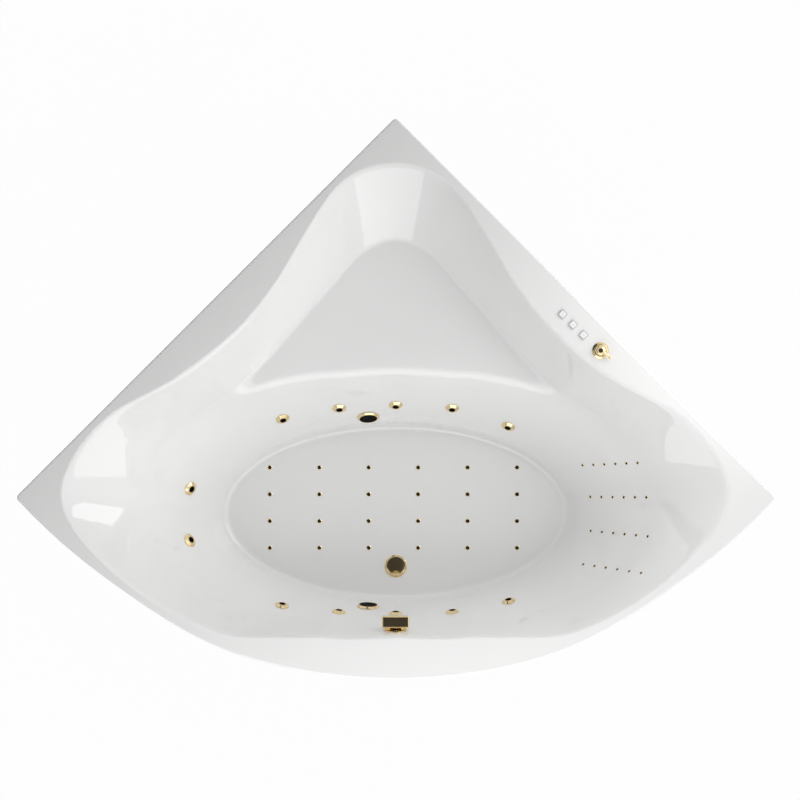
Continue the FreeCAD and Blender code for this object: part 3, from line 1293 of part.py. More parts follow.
hollow_long = mm("overflow_reach") - mm("thread_floor") - 2 * mm("trap_wall")
chamber_hollow = Part.makeCylinder(mm("overflow_neck") / 2, hollow_long,
                                   Vector(0, 0, -mm("overflow_reach") + mm("trap_wall")))
chamber_hollow.Placement = overflow_frame
spout = Part.makeCylinder(mm("overflow_pipe") / 2, mm("overflow_down"), spout_top, DOWN).cut(chamber_hollow)
cable_spout = Part.makeCylinder(mm("cable_stub") / 2, mm("overflow_down"),
                                cable_end + Vector(0, 0, mm("overflow_down")), DOWN).cut(chamber_hollow)
spout_bore = Part.makeCylinder(mm("overflow_bore") / 2, mm("overflow_down") + mm("cut_over"), spout_top, DOWN)
chamber = chamber.fuse([spout, cable_spout]).cut(spout_bore)
node("overflow_body", free("overflow_body", chamber.Solids[0]))


# Hose paths made of straight runs and tangent arcs
def arc_edge(start, way, end):
    """Arc leaving start along way and reaching end, or a straight run."""
    chord = end - start
    along = Vector(chord).normalize()
    aside = way - along * way.dot(along)
    if aside.Length < 0.0001:
        return Part.LineSegment(start, end).toShape()
    lean = math.acos(max(-1, min(1, way.dot(along))))
    radius = chord.Length / (2 * math.sin(lean))
    crown = (start + end) / 2 + aside.normalize() * radius * (1 - math.cos(lean))
    return Part.Arc(start, crown, end).toShape()


def two_arcs(start, way, end, end_way):
    """Two tangent arcs from one end and heading to another."""
    gap = end - start
    both = way + end_way
    share = 2 * (1 - way.dot(end_way))
    if share < 0.000001:
        reach = gap.dot(gap) / (4 * gap.dot(end_way))
    else:
        lead = gap.dot(both)
        reach = (-lead + math.sqrt(lead * lead + share * gap.dot(gap))) / share
    meet = (start + way * reach + end - end_way * reach) / 2
    first = arc_edge(start, way, meet)
    meet_way = ((end - end_way * reach) - (start + way * reach)).normalize()
    return [first, arc_edge(meet, meet_way, end)]


def bent(points, bend):
    """Straight runs through points with a round at every inner point."""
    edges = []
    here = points[0]
    for index in range(1, len(points) - 1):
        before = (points[index] - points[index - 1]).normalize()
        after = (points[index + 1] - points[index]).normalize()
        angle = math.acos(max(-1, min(1, before.dot(after))))
        back = bend * math.tan(angle / 2)
        start = points[index] - before * back
        end = points[index] + after * back
        if (start - here).Length > mm("face_film"):
            edges.append(Part.LineSegment(here, start).toShape())
        edges.append(arc_edge(start, before, end))
        here = end
    edges.append(Part.LineSegment(here, points[-1]).toShape())
    return edges


def hose(edges, dia, bore_dia):
    """Round hose swept along its path, open through its length."""
    path = Part.Wire(edges)
    first = edges[0]
    way = first.tangentAt(first.FirstParameter)
    start = first.valueAt(first.FirstParameter)
    outer = Part.Wire(Part.makeCircle(dia / 2, start, way))
    inner = Part.Wire(Part.makeCircle(bore_dia / 2, start, way))
    section = Part.makeFace([outer, inner], "Part::FaceMakerBullseye")
    swept = path.makePipe(section)
    if swept.ShapeType != "Solid":
        swept = swept.Solids[0]
    expected = section.Area * path.Length
    if abs(swept.Volume - expected) > expected / 50:
        raise RuntimeError("hose volume does not match its section and length")
    return swept


def barrel_end(frame, length, deep, sign):
    way = frame.Rotation.multVec(Vector(1, 0, 0))
    return frame.multVec(Vector(sign * length / 2, 0, -deep)), way


def linked(frames, length, deep, dia, bore_dia):
    """Hoses between the barrels of fittings taken in order."""
    pieces = []
    for near, far in zip(frames[:-1], frames[1:]):
        start, way = barrel_end(near, length, deep, 1)
        end, end_way = barrel_end(far, length, deep, -1)
        pieces.append(hose(two_arcs(start, way, end, end_way), dia, bore_dia))
    return pieces


def end_cap(frame, length, deep, dia, sign):
    start, way = barrel_end(frame, length, deep, sign)
    return Part.makeCylinder(dia / 2, mm("cap_long"), start, way * sign)


pump_axis_y = board_y + cell("pump_in")
pump_axis_z = board_top + cell("pump_high")
blower_base = board_top
RIGHT = Vector(1, 0, 0)
LEFT = Vector(-1, 0, 0)

# Water line from the pump through every hydro jet
water = linked(jet_frames, mm("barrel_long"), mm("water_deep"), mm("water_dia"), mm("water_bore"))
delivery_end = Vector(-(mm("volute_x") + mm("volute_long") / 2), pump_axis_y.value + mm("delivery_side"),
                      pump_axis_z.value + mm("delivery_high"))
first_start, first_way = barrel_end(jet_frames[0], mm("barrel_long"), mm("water_deep"), -1)
over_z = delivery_end.z + mm("delivery_rise")
turn_x = first_start.x + mm("delivery_swing")
water.append(hose(bent([
    delivery_end, Vector(delivery_end.x, delivery_end.y, over_z), Vector(turn_x, delivery_end.y, over_z),
    first_start - first_way * mm("delivery_swing"), first_start], mm("delivery_bend")),
    mm("water_dia"), mm("water_bore")))
water.append(end_cap(jet_frames[-1], mm("barrel_long"), mm("water_deep"), mm("water_dia"), 1))
group("water_hoses", water)

# Air line from the deck valve through every hydro jet
air = linked(jet_frames, mm("barrel_long"), mm("air_deep"), mm("air_dia"), mm("air_bore"))
spout_point = Vector(valve_x.value, valve_y.value, deck_z + spout_low.value)
first_air, first_air_way = barrel_end(jet_frames[0], mm("barrel_long"), mm("air_deep"), -1)
air.append(hose(two_arcs(spout_point, DOWN, first_air, first_air_way), mm("air_dia"), mm("air_bore")))
air.append(end_cap(jet_frames[-1], mm("barrel_long"), mm("air_deep"), mm("air_dia"), 1))
group("jet_air_hoses", air)

# Suction line from both suction fittings to the pump
front_out, front_way = barrel_end(front_suction, mm("suction_long"), mm("suction_deep"), -1)
rear_in, rear_way = barrel_end(rear_suction, mm("suction_long"), mm("suction_deep"), -1)
rear_out = barrel_end(rear_suction, mm("suction_long"), mm("suction_deep"), 1)[0]
pump_inlet = Vector(-(mm("volute_x") - mm("inlet_long")), pump_axis_y.value, pump_axis_z.value)
run_x = -mm("suction_run_x")
suction_low = mm("frame_low") - mm("suction_pipe") / 2 - mm("suction_under")
front_turn = front_out - front_way * ((front_out.x - run_x) / front_way.x)
rear_turn = rear_in - rear_way * ((rear_in.x - run_x) / rear_way.x)
suction = [
    hose(bent([front_out, front_turn, Vector(run_x, front_turn.y, suction_low),
               Vector(run_x, rear_turn.y, suction_low), rear_turn, rear_in],
              mm("suction_bend")), mm("suction_pipe"), mm("suction_bore")),
    hose(two_arcs(rear_out, rear_way, pump_inlet, LEFT), mm("suction_pipe"), mm("suction_bore")),
    end_cap(front_suction, mm("suction_long"), mm("suction_deep"), mm("suction_pipe"), 1)]
group("suction_hoses", suction)

# Air from the blower to the floor outlets and to the back outlets
outlet_x = mm("blower_x") + mm("outlet_reach")
floor_feed = Vector(outlet_x, pump_axis_y.value - mm("outlet_spread"), blower_base.value + mm("outlet_rise"))
back_feed = Vector(outlet_x, pump_axis_y.value + mm("outlet_spread"),
                   blower_base.value + mm("outlet_rise") + mm("outlet_step"))
floor_air = linked(all_floor, mm("floor_barrel"), mm("floor_pipe_deep"), mm("floor_pipe"),
                   mm("floor_pipe_bore"))
start, way = barrel_end(all_floor[0], mm("floor_barrel"), mm("floor_pipe_deep"), -1)
floor_air.append(hose(two_arcs(floor_feed, RIGHT, start, way), mm("floor_pipe"), mm("floor_pipe_bore")))
floor_air.append(end_cap(all_floor[-1], mm("floor_barrel"), mm("floor_pipe_deep"), mm("floor_pipe"), 1))
group("floor_air_hoses", floor_air)
back_air = linked(all_back, mm("back_barrel"), mm("back_pipe_deep"), mm("back_pipe"), mm("back_pipe_bore"))
start, way = barrel_end(all_back[0], mm("back_barrel"), mm("back_pipe_deep"), -1)
back_air.append(hose(two_arcs(back_feed, RIGHT, start, way), mm("back_pipe"), mm("back_pipe_bore")))
back_air.append(end_cap(all_back[-1], mm("back_barrel"), mm("back_pipe_deep"), mm("back_pipe"), 1))
group("back_air_hoses", back_air)

# Overflow hose and plug cable down to the trap
inlet_level = floor_z.value - mm("inlet_drop")
trap_inlet = Vector(0, drain_y.value - mm("inlet_reach"), inlet_level)
node("overflow_hose", free("overflow_hose", hose(
    bent([spout_end, Vector(0, spout_end.y, inlet_level), trap_inlet], mm("hose_bend")),
    mm("overflow_pipe"), mm("overflow_bore"))))
aside = Vector(cable_x.value, 0, 0)
node("popup_cable", free("popup_cable", hose(
    bent([cable_end, Vector(0, spout_end.y, inlet_level) + aside, trap_inlet + aside],
         mm("hose_bend")), mm("cable_dia"), mm("cable_core"))))

# Pump
casing_left = -(cell("volute_x") + cell("volute_long"))
wall = cell("volute_wall")
casing = fuse("casing_whole", [
    rod("volute", cell("volute_dia"), cell("volute_long"), (casing_left, pump_axis_y, pump_axis_z), X_WAY),
    rod("pump_stub", cell("suction_pipe"), cell("inlet_long") + wall,
        (-(cell("volute_x") + wall), pump_axis_y, pump_axis_z), X_WAY),
    rod("delivery", cell("water_dia"), cell("delivery_high"),
        (-(cell("volute_x") + cell("volute_long") / 2), pump_axis_y + cell("delivery_side"), pump_axis_z))])
casing_cuts = [
    rod("volute_hollow", cell("volute_dia") - wall * 2, cell("volute_long") - wall * 2,
        (casing_left + wall, pump_axis_y, pump_axis_z), X_WAY),
    rod("stub_bore", cell("suction_bore"), cell("inlet_long") + wall * 2 + cell("cut_over"),
        (-(cell("volute_x") + wall * 2), pump_axis_y, pump_axis_z), X_WAY),
    rod("delivery_bore", cell("water_bore"), cell("delivery_high") + cell("cut_over"),
        (-(cell("volute_x") + cell("volute_long") / 2), pump_axis_y + cell("delivery_side"), pump_axis_z)),
    rod("shaft_pass", cell("shaft_dia") + cell("thread_gap") * 2, wall + cell("cut_over") * 2,
        (casing_left - cell("cut_over"), pump_axis_y, pump_axis_z), X_WAY)]
node("pump_casing", cut("pump_casing", casing, [fuse("casing_bores", casing_cuts)]))
plate_x = casing_left + wall + cell("vane_thick")
impeller_parts = [
    rod("impeller_plate_rod", cell("impeller_dia"), cell("impeller_plate"),
        (plate_x, pump_axis_y, pump_axis_z), X_WAY),
    rod("impeller_hub", cell("hub_dia"), cell("impeller_plate") + cell("vane_high"),
        (plate_x, pump_axis_y, pump_axis_z), X_WAY),
    rod("pump_shaft", cell("shaft_dia"),
        cell("shaft_into") + wall + cell("vane_thick") + cell("impeller_plate"),
        (casing_left - cell("shaft_into"), pump_axis_y, pump_axis_z), X_WAY)]
VANE_COUNT = 6
for index in range(VANE_COUNT):
    vane = box("vane_" + str(index), (plate_x, pump_axis_y, pump_axis_z),
               (cell("impeller_plate") + cell("vane_high"), cell("vane_thick"),
                cell("impeller_dia") / 2 - cell("vane_thick")))
    vane.Placement = Placement(Vector(), Rotation(X_WAY, FULL_TURN * index / VANE_COUNT))
    impeller_parts.append(vane)
node("pump_impeller", fuse("pump_impeller", impeller_parts))
motor_left = casing_left - cell("motor_long")
motor_parts = [rod("motor_drum", cell("motor_dia") - cell("motor_rib") * 2, cell("motor_long"),
                   (motor_left, pump_axis_y, pump_axis_z), X_WAY)]
RIB_COUNT = 9
for index in range(RIB_COUNT):
    rib_x = motor_left + cell("motor_long") * index / RIB_COUNT
    motor_parts.append(rod("motor_rib_" + str(index), cell("motor_dia"), cell("motor_long") / (RIB_COUNT * 2),
                           (rib_x, pump_axis_y, pump_axis_z), X_WAY))
foot_x = motor_left + (cell("motor_long") - cell("motor_foot_long")) / 2
motor_parts.append(box("motor_foot", (foot_x, pump_axis_y - cell("motor_foot_wide") / 2, board_top),
                       (cell("motor_foot_long"), cell("motor_foot_wide"), cell("motor_foot_thick"))))
motor_parts.append(box("motor_web", (foot_x, pump_axis_y - cell("motor_web_wide") / 2, board_top),
                       (cell("motor_foot_long"), cell("motor_web_wide"), cell("pump_high"))))
motor_parts.append(box("terminal_box", (foot_x, pump_axis_y - cell("terminal_wide") / 2, pump_axis_z),
                       (cell("terminal_long"), cell("terminal_wide"),
                        cell("motor_dia") / 2 + cell("terminal_high"))))
motor_bore = rod("motor_bore", cell("shaft_dia") + cell("hole_gap") * 2,
                 cell("shaft_into") + cell("cut_over") * 2,
                 (casing_left - cell("shaft_into") - cell("cut_over"), pump_axis_y, pump_axis_z), X_WAY)
node("pump_motor", cut("pump_motor", fuse("motor_whole", motor_parts), [motor_bore]))

# Blower
blower_x = cell("blower_x")
drum_top = board_top + cell("blower_high")
shell = cell("blower_wall")
blower_parts = [
    rod("drum", cell("blower_dia"), cell("blower_high"), (blower_x, pump_axis_y, board_top)),
    rod("blower_cover", cell("blower_motor"), cell("blower_motor_high"), (blower_x, pump_axis_y, drum_top)),
    rod("floor_spout", cell("floor_pipe"), cell("outlet_reach"),
        (blower_x, pump_axis_y - cell("outlet_spread"), board_top + cell("outlet_rise")), X_WAY),
    rod("back_spout", cell("back_pipe"), cell("outlet_reach"),
        (blower_x, pump_axis_y + cell("outlet_spread"),
         board_top + cell("outlet_rise") + cell("outlet_step")), X_WAY)]
blower_cuts = [
    rod("drum_hollow", cell("blower_dia") - shell * 2, cell("blower_high") - shell * 2,
        (blower_x, pump_axis_y, board_top + shell)),
    rod("fan_shaft_bore", cell("fan_shaft") + cell("thread_gap") * 2,
        cell("fan_shaft_into") + shell + cell("cut_over"), (blower_x, pump_axis_y, drum_top - shell)),
    rod("floor_spout_bore", cell("floor_pipe_bore"), cell("outlet_reach") + cell("cut_over"),
        (blower_x, pump_axis_y - cell("outlet_spread"), board_top + cell("outlet_rise")), X_WAY),
    rod("back_spout_bore", cell("back_pipe_bore"), cell("outlet_reach") + cell("cut_over"),
        (blower_x, pump_axis_y + cell("outlet_spread"),
         board_top + cell("outlet_rise") + cell("outlet_step")), X_WAY)]
node("blower_housing", cut("blower_housing", fuse("blower_whole", blower_parts),
                           [fuse("blower_bores", blower_cuts)]))
fan_low = board_top + shell * 2
fan_parts = [
    rod("fan_disc", cell("fan_dia"), cell("fan_plate"), (blower_x, pump_axis_y, fan_low)),
    rod("fan_post", cell("fan_shaft"), drum_top + cell("fan_shaft_into") - fan_low,
        (blower_x, pump_axis_y, fan_low))]
BLADE_COUNT = 10
for index in range(BLADE_COUNT):
    blade = box("blade_" + str(index), (blower_x, pump_axis_y, fan_low),
                (cell("fan_dia") / 2 - cell("fan_plate"), cell("fan_plate"), cell("fan_high")))
    blade.Placement = Placement(Vector(), Rotation(Vector(0, 0, 1), FULL_TURN * index / BLADE_COUNT))
    fan_parts.append(blade)
node("blower_fan", fuse("blower_fan", fan_parts))

# Control box on the rear post
box_y = rear_post_y - half - cell("box_deep")
box_wall = cell("box_wall")
case_block = box("case_block", (-(cell("box_wide") / 2), box_y, cell("box_low")),
                 (cell("box_wide"), cell("box_deep"), cell("box_tall")))
case_hollow = box("case_hollow", (-(cell("box_wide") / 2 - box_wall), box_y - cell("cut_over"),
                                  cell("box_low") + box_wall),
                  (cell("box_wide") - box_wall * 2, cell("box_deep") - box_wall + cell("cut_over"),
                   cell("box_tall") - box_wall * 2))
gland = rod("gland", cell("gland_dia"), cell("gland_long") + box_wall,
            (ZERO, box_y + cell("box_deep") / 2, cell("box_low") - cell("gland_long")))
gland_bore = rod("gland_bore", cell("gland_dia") / 2, cell("gland_long") + box_wall * 3,
                 (ZERO, box_y + cell("box_deep") / 2, cell("box_low") - cell("gland_long") - box_wall))
case = cut("case_open", case_block, [case_hollow])
node("control_box", cut("control_box", fuse("case_whole", [case, gland]), [gland_bore]))
lid_corner = (-(cell("box_wide") / 2), box_y - cell("lid_thick"), cell("box_low"))
node("control_box_lid", box("control_box_lid", lid_corner,
                            (cell("box_wide"), cell("lid_thick"), cell("box_tall"))))

# Check every object and write one file for each sub-part
doc.recompute()
for item in doc.Objects:
    if "Invalid" in item.State or "Error" in item.State:
        raise RuntimeError("object did not compute: " + item.Label)
os.makedirs("parts", exist_ok=True)
for label, item in made.items():
    shape = item.Shape
    if shape.isNull() or not shape.isValid() or not shape.Solids:
        raise RuntimeError("shape is not a valid solid: " + label)
    shape.exportStep("parts/" + label + ".step")
print(len(made), "sub-parts written")
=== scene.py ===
# %% [markdown]
# # Dressing a jetted corner bath
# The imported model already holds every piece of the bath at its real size: the acrylic shell, its gold
# fittings, the steel frame, the pipework, the pump and the blower. This lesson gives each of them its
# finish, adds the small things that a maker adds last, and sets up a studio that looks straight down into
# the basin.

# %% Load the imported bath
import json
import math

import bmesh
import bpy
import numpy as np
from mathutils import Matrix, Vector


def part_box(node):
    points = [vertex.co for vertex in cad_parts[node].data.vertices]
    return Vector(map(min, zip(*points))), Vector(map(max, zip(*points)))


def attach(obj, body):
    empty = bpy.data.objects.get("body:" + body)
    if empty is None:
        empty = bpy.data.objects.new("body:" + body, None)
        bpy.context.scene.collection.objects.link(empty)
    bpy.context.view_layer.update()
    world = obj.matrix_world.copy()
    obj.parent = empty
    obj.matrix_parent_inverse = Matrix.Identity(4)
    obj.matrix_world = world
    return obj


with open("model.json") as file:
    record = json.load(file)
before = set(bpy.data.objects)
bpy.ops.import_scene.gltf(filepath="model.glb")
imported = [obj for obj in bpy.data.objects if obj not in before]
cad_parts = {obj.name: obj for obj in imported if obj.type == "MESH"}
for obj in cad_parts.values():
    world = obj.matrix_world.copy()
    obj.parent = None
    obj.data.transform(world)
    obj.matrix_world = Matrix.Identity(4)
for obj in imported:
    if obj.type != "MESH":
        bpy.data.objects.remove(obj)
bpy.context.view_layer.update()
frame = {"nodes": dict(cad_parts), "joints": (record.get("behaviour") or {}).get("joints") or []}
nodes = frame["nodes"]
joints = {joint["name"]: joint for joint in frame["joints"]}
MM = 0.001

# %% [markdown]
# ## A small kit for finishes
# A finish is one Principled shader whose colour, roughness and bump come from procedural patterns. The
# nodes read the object's own coordinates, which here are metres in the bath's frame, so a pattern has the
# same scale on every piece and needs no unwrapping. A tiny class keeps the wiring short and readable.


# %% The finish class
class Finish:
    """One procedural material around a Principled shader."""

    def __init__(self, name):
        self.material = bpy.data.materials.new(name)
        self.material.use_nodes = True
        self.tree = self.material.node_tree
        self.shader = self.tree.nodes["Principled BSDF"]
        coordinates = self.tree.nodes.new("ShaderNodeTexCoord")
        self.place = coordinates.outputs["Object"]

    def feed(self, socket, value):
        """Set an input to a plain value, or link it to another socket."""
        if isinstance(value, bpy.types.NodeSocket):
            self.tree.links.new(value, socket)
        elif isinstance(value, tuple) and len(value) == 3 and socket.type == "RGBA":
            socket.default_value = (*value, 1)
        else:
            socket.default_value = value

    def set(self, **values):
        """Set shader inputs by name, with _ for a space."""
        for name, value in values.items():
            self.feed(self.shader.inputs[name.replace("_", " ")], value)
        return self

    def stretched(self, scale, turn=(0, 0, 0)):
        """Object coordinates scaled and turned, for grain that runs one way."""
        mapping = self.tree.nodes.new("ShaderNodeMapping")
        self.feed(mapping.inputs["Vector"], self.place)
        mapping.inputs["Scale"].default_value = scale
        mapping.inputs["Rotation"].default_value = turn
        return mapping.outputs["Vector"]

    def noise(self, scale, detail=3, distortion=0, place=None):
        texture = self.tree.nodes.new("ShaderNodeTexNoise")
        self.feed(texture.inputs["Vector"], place or self.place)
        texture.inputs["Scale"].default_value = scale
        texture.inputs["Detail"].default_value = detail
        texture.inputs["Distortion"].default_value = distortion
        return texture.outputs["Fac"]

    def cells(self, scale, feature="F1", place=None):
        texture = self.tree.nodes.new("ShaderNodeTexVoronoi")
        texture.feature = feature
        self.feed(texture.inputs["Vector"], place or self.place)
        texture.inputs["Scale"].default_value = scale
        return texture.outputs["Distance"]

    def bands(self, scale, direction, distortion=0, place=None):
        texture = self.tree.nodes.new("ShaderNodeTexWave")
        texture.bands_direction = direction
        self.feed(texture.inputs["Vector"], place or self.place)
        texture.inputs["Scale"].default_value = scale
        texture.inputs["Distortion"].default_value = distortion
        texture.inputs["Detail"].default_value = 2
        return texture.outputs["Fac"]

    def part(self, vector, letter):
        """One component of a vector socket."""
        split = self.tree.nodes.new("ShaderNodeSeparateXYZ")
        self.feed(split.inputs["Vector"], vector)
        return split.outputs[letter]

    def facing(self, letter):
        """One component of the surface's own normal."""
        geometry = self.tree.nodes.new("ShaderNodeNewGeometry")
        return self.part(geometry.outputs["True Normal"], letter)

    def ranged(self, value, start, end, low=0, high=1):
        """Map a value from one range to another, smoothly and held at the ends."""
        mapped = self.tree.nodes.new("ShaderNodeMapRange")
        mapped.interpolation_type = "SMOOTHSTEP"
        self.feed(mapped.inputs["Value"], value)
        for name, number in (("From Min", start), ("From Max", end), ("To Min", low), ("To Max", high)):
            mapped.inputs[name].default_value = number
        return mapped.outputs["Result"]

    def sums(self, operation, first, second):
        math_node = self.tree.nodes.new("ShaderNodeMath")
        math_node.operation = operation
        self.feed(math_node.inputs[0], first)
        self.feed(math_node.inputs[1], second)
        return math_node.outputs["Value"]

    def blend(self, share, first, second):
        """Colour between two colours by a share."""
        mix = self.tree.nodes.new("ShaderNodeMix")
        mix.data_type = "RGBA"
        self.feed(mix.inputs["Factor"], share)
        self.feed(mix.inputs[6], first)
        self.feed(mix.inputs[7], second)
        return mix.outputs[2]

    def between(self, share, first, second):
        """Number between two numbers by a share."""
        mix = self.tree.nodes.new("ShaderNodeMix")
        self.feed(mix.inputs["Factor"], share)
        self.feed(mix.inputs[2], first)
        self.feed(mix.inputs[3], second)
        return mix.outputs[0]

    def bump(self, height, distance, strength=1.0):
        """Raise the surface by a pattern; distance is the real relief in metres."""
        bump = self.tree.nodes.new("ShaderNodeBump")
        bump.inputs["Strength"].default_value = strength
        bump.inputs["Distance"].default_value = distance
        self.feed(bump.inputs["Height"], height)
        self.feed(self.shader.inputs["Normal"], bump.outputs["Normal"])
        return self


def dress(finish, *names):
    """Give CAD nodes a finish in place of their plain packed colour."""
    for name in names:
        mesh = nodes[name].data
        mesh.materials.clear()
        mesh.materials.append(finish.material)
    print(finish.material.name, "on", len(names), "nodes")


# %% [markdown]
# ## The acrylic shell
# The shell is a sheet of white cast acrylic drawn over a mould and stiffened from behind with resin and
# chopped glass strands. Two finishes could be two materials on two sets of faces, but the shell is one CAD
# node whose mesh stays as it is. So one shader holds both: every show face looks up or sideways and every
# backing face looks down, and the surface's own normal tells them apart.


# %% White acrylic with its glass-fibre backing
def acrylic_finish():
    finish = Finish("shell_acrylic")
    backing = finish.ranged(finish.facing("Z"), -0.02, -0.06)
    cloud = finish.noise(3.0, detail=2)
    show = finish.blend(cloud, (0.84, 0.84, 0.835), (0.86, 0.86, 0.855))
    long_strand = finish.cells(90, "DISTANCE_TO_EDGE", finish.stretched((1, 0.22, 1), (0.4, 0.2, 0.7)))
    cross_strand = finish.cells(90, "DISTANCE_TO_EDGE", finish.stretched((0.22, 1, 0.6), (0.1, 0.5, 0.3)))
    strands = finish.sums("MINIMUM", long_strand, cross_strand)
    fibre = finish.ranged(strands, 0.0, 0.12)
    resin = finish.blend(finish.noise(14, detail=4), (0.62, 0.60, 0.52), (0.74, 0.72, 0.65))
    matted = finish.blend(fibre, (0.80, 0.79, 0.74), resin)
    finish.set(
        Base_Color=finish.blend(backing, show, matted),
        Roughness=finish.between(backing, finish.ranged(finish.noise(40), 0.3, 0.7, 0.015, 0.03), 0.5),
        IOR=1.49,
        Specular_IOR_Level=0.85)
    ripple = finish.sums("MULTIPLY", finish.noise(7, detail=1), 0.02)
    finish.bump(finish.between(backing, ripple, fibre), 0.0012)
    return finish


dress(acrylic_finish(), "tub_shell")

# %% [markdown]
# ## Polished gold fittings
# Bezels, rings, caps, lever, knob and drain are plated and polished like mirrors, so their look comes
# mostly from what they reflect. A metal needs only its colour, a low roughness, and a trace of polishing
# haze to look handled.


# %% Gold plating
def gold_finish():
    finish = Finish("polished_gold")
    haze = finish.noise(180, detail=5)
    finish.set(
        Base_Color=finish.blend(finish.noise(35), (0.84, 0.66, 0.36), (0.90, 0.73, 0.43)),
        Metallic=1.0,
        Roughness=finish.ranged(haze, 0.3, 0.75, 0.07, 0.13))
    finish.bump(finish.noise(900, detail=2), 0.00001, 0.4)
    return finish


GOLD_NODES = ["jet_bezels", "suction_rings", "floor_air_caps", "back_air_caps", "air_valve_base",
              "air_valve_lever", "drain_flange", "drain_plug", "overflow_face", "overflow_knob"]
NOZZLES = [name for name in sorted(nodes) if name.startswith("jet_nozzle")]
dress(gold_finish(), *GOLD_NODES)

# %% [markdown]
# ## Plastics
# The bath has several kinds of moulded plastic: white switch caps in grey frames, black grilles, nozzles
# and pump parts, white pipework, and the light control box. The grey of the switch frames is painted shade:
# it stands for the shadow in the gap round each cap. Moulded plastic is never one flat colour: it has a fine
# spark-eroded grain, faint flow clouds, and a roughness that changes a little where hands or tools have
# rubbed it.


# %% Moulded plastics
def moulded(name, dark, light, rough, grain=0.00003, grain_scale=1400):
    finish = Finish(name)
    flow = finish.noise(22, detail=4)
    finish.set(
        Base_Color=finish.blend(flow, dark, light),
        Roughness=finish.ranged(finish.noise(60), 0.3, 0.7, rough - 0.06, rough + 0.06))
    finish.bump(finish.noise(grain_scale, detail=2), grain)
    return finish


button_white = moulded("button_white", (0.90, 0.90, 0.89), (0.94, 0.94, 0.935), 0.24, 0.00001)
black_plastic = moulded("moulded_black", (0.012, 0.012, 0.012), (0.028, 0.027, 0.026), 0.38)
pipe_white = moulded("pipe_white", (0.74, 0.74, 0.72), (0.82, 0.82, 0.80), 0.36)
blower_plastic = moulded("blower_plastic", (0.055, 0.058, 0.062), (0.085, 0.088, 0.092), 0.5, 0.00008, 700)
box_plastic = moulded("box_plastic", (0.66, 0.66, 0.64), (0.72, 0.72, 0.70), 0.42, 0.00005, 900)
# Grey switch frames: this grey is painted shade, standing for the shadow in the gap round each cap.
button_frame_gap_shade = moulded("button_frame_gap_shade", (0.54, 0.54, 0.55), (0.60, 0.60, 0.61), 0.34, 0.00001)
grille_black = moulded("grille_black", (0.002, 0.002, 0.002), (0.005, 0.005, 0.005), 0.6)
grille_black.set(Specular_IOR_Level=0.06)
dress(button_white, "button_1", "button_2", "button_3")
dress(button_frame_gap_shade, "button_housings")
dress(grille_black, "suction_grilles", *NOZZLES)
dress(black_plastic, "pump_casing", "pump_impeller", "blower_fan", "popup_cable")
dress(pipe_white, "jet_bodies", "suction_bodies", "floor_air_bodies", "back_air_bodies", "deck_nuts",
      "air_valve_body", "drain_trap", "overflow_body")
dress(blower_plastic, "blower_housing")
dress(box_plastic, "control_box", "control_box_lid")


# %% [markdown]
# ## Hoses
# The water and air lines are milky flexible tube and the suction and waste lines are grey tube. Soft tube
# lets a little light in, so the milky one has a touch of scattering under its skin.


# %% Flexible hoses
def hose_finish(name, dark, light, rough, inner_glow):
    finish = Finish(name)
    finish.set(
        Base_Color=finish.blend(finish.noise(9, detail=5), dark, light),
        Roughness=finish.ranged(finish.noise(120), 0.3, 0.7, rough - 0.05, rough + 0.08),
        Subsurface_Weight=inner_glow,
        Subsurface_Scale=0.004)
    finish.bump(finish.noise(260, detail=3), 0.00012)
    return finish


dress(hose_finish("milky_hose", (0.60, 0.64, 0.63), (0.74, 0.77, 0.76), 0.3, 0.25),
      "water_hoses", "jet_air_hoses", "floor_air_hoses", "back_air_hoses")
dress(hose_finish("smooth_grey_hose", (0.28, 0.29, 0.30), (0.36, 0.37, 0.38), 0.42, 0.0),
      "suction_hoses", "overflow_hose")


# %% [markdown]
# ## Frame, feet and wood
# The frame is square steel tube under a satin grey powder coat, which dries with a fine orange-peel skin.
# The feet are zinc-plated studs in black nylon pads: the pad is the lowest part of each foot, so height
# alone separates the two. Battens and board are plywood, with long grain on the faces and thin stripes of
# glue lines on the edges.


# %% Powder coat, zinc and plywood
def powder_finish():
    finish = Finish("powder_coat")
    finish.set(
        Base_Color=finish.blend(finish.noise(6, detail=6), (0.33, 0.34, 0.35), (0.40, 0.41, 0.42)),
        Roughness=finish.ranged(finish.noise(30), 0.3, 0.7, 0.42, 0.54))
    finish.bump(finish.noise(520, detail=2), 0.00012)
    return finish


def zinc_finish(name, pad_top=None):
    finish = Finish(name)
    spangle = finish.cells(130)
    metal = finish.blend(spangle, (0.52, 0.53, 0.55), (0.72, 0.73, 0.74))
    thread = finish.bands(95, "Z")
    if pad_top is None:
        finish.set(Base_Color=metal, Metallic=1.0, Roughness=finish.ranged(spangle, 0, 0.8, 0.26, 0.42))
        finish.bump(finish.noise(400), 0.00004)
        return finish
    height = finish.part(finish.place, "Z")
    stud = finish.ranged(height, pad_top - 0.0004, pad_top + 0.0004)
    finish.set(
        Base_Color=finish.blend(stud, (0.025, 0.025, 0.026), metal),
        Metallic=stud,
        Roughness=finish.between(stud, 0.55, 0.34))
    finish.bump(finish.sums("MULTIPLY", thread, stud), 0.0007)
    return finish


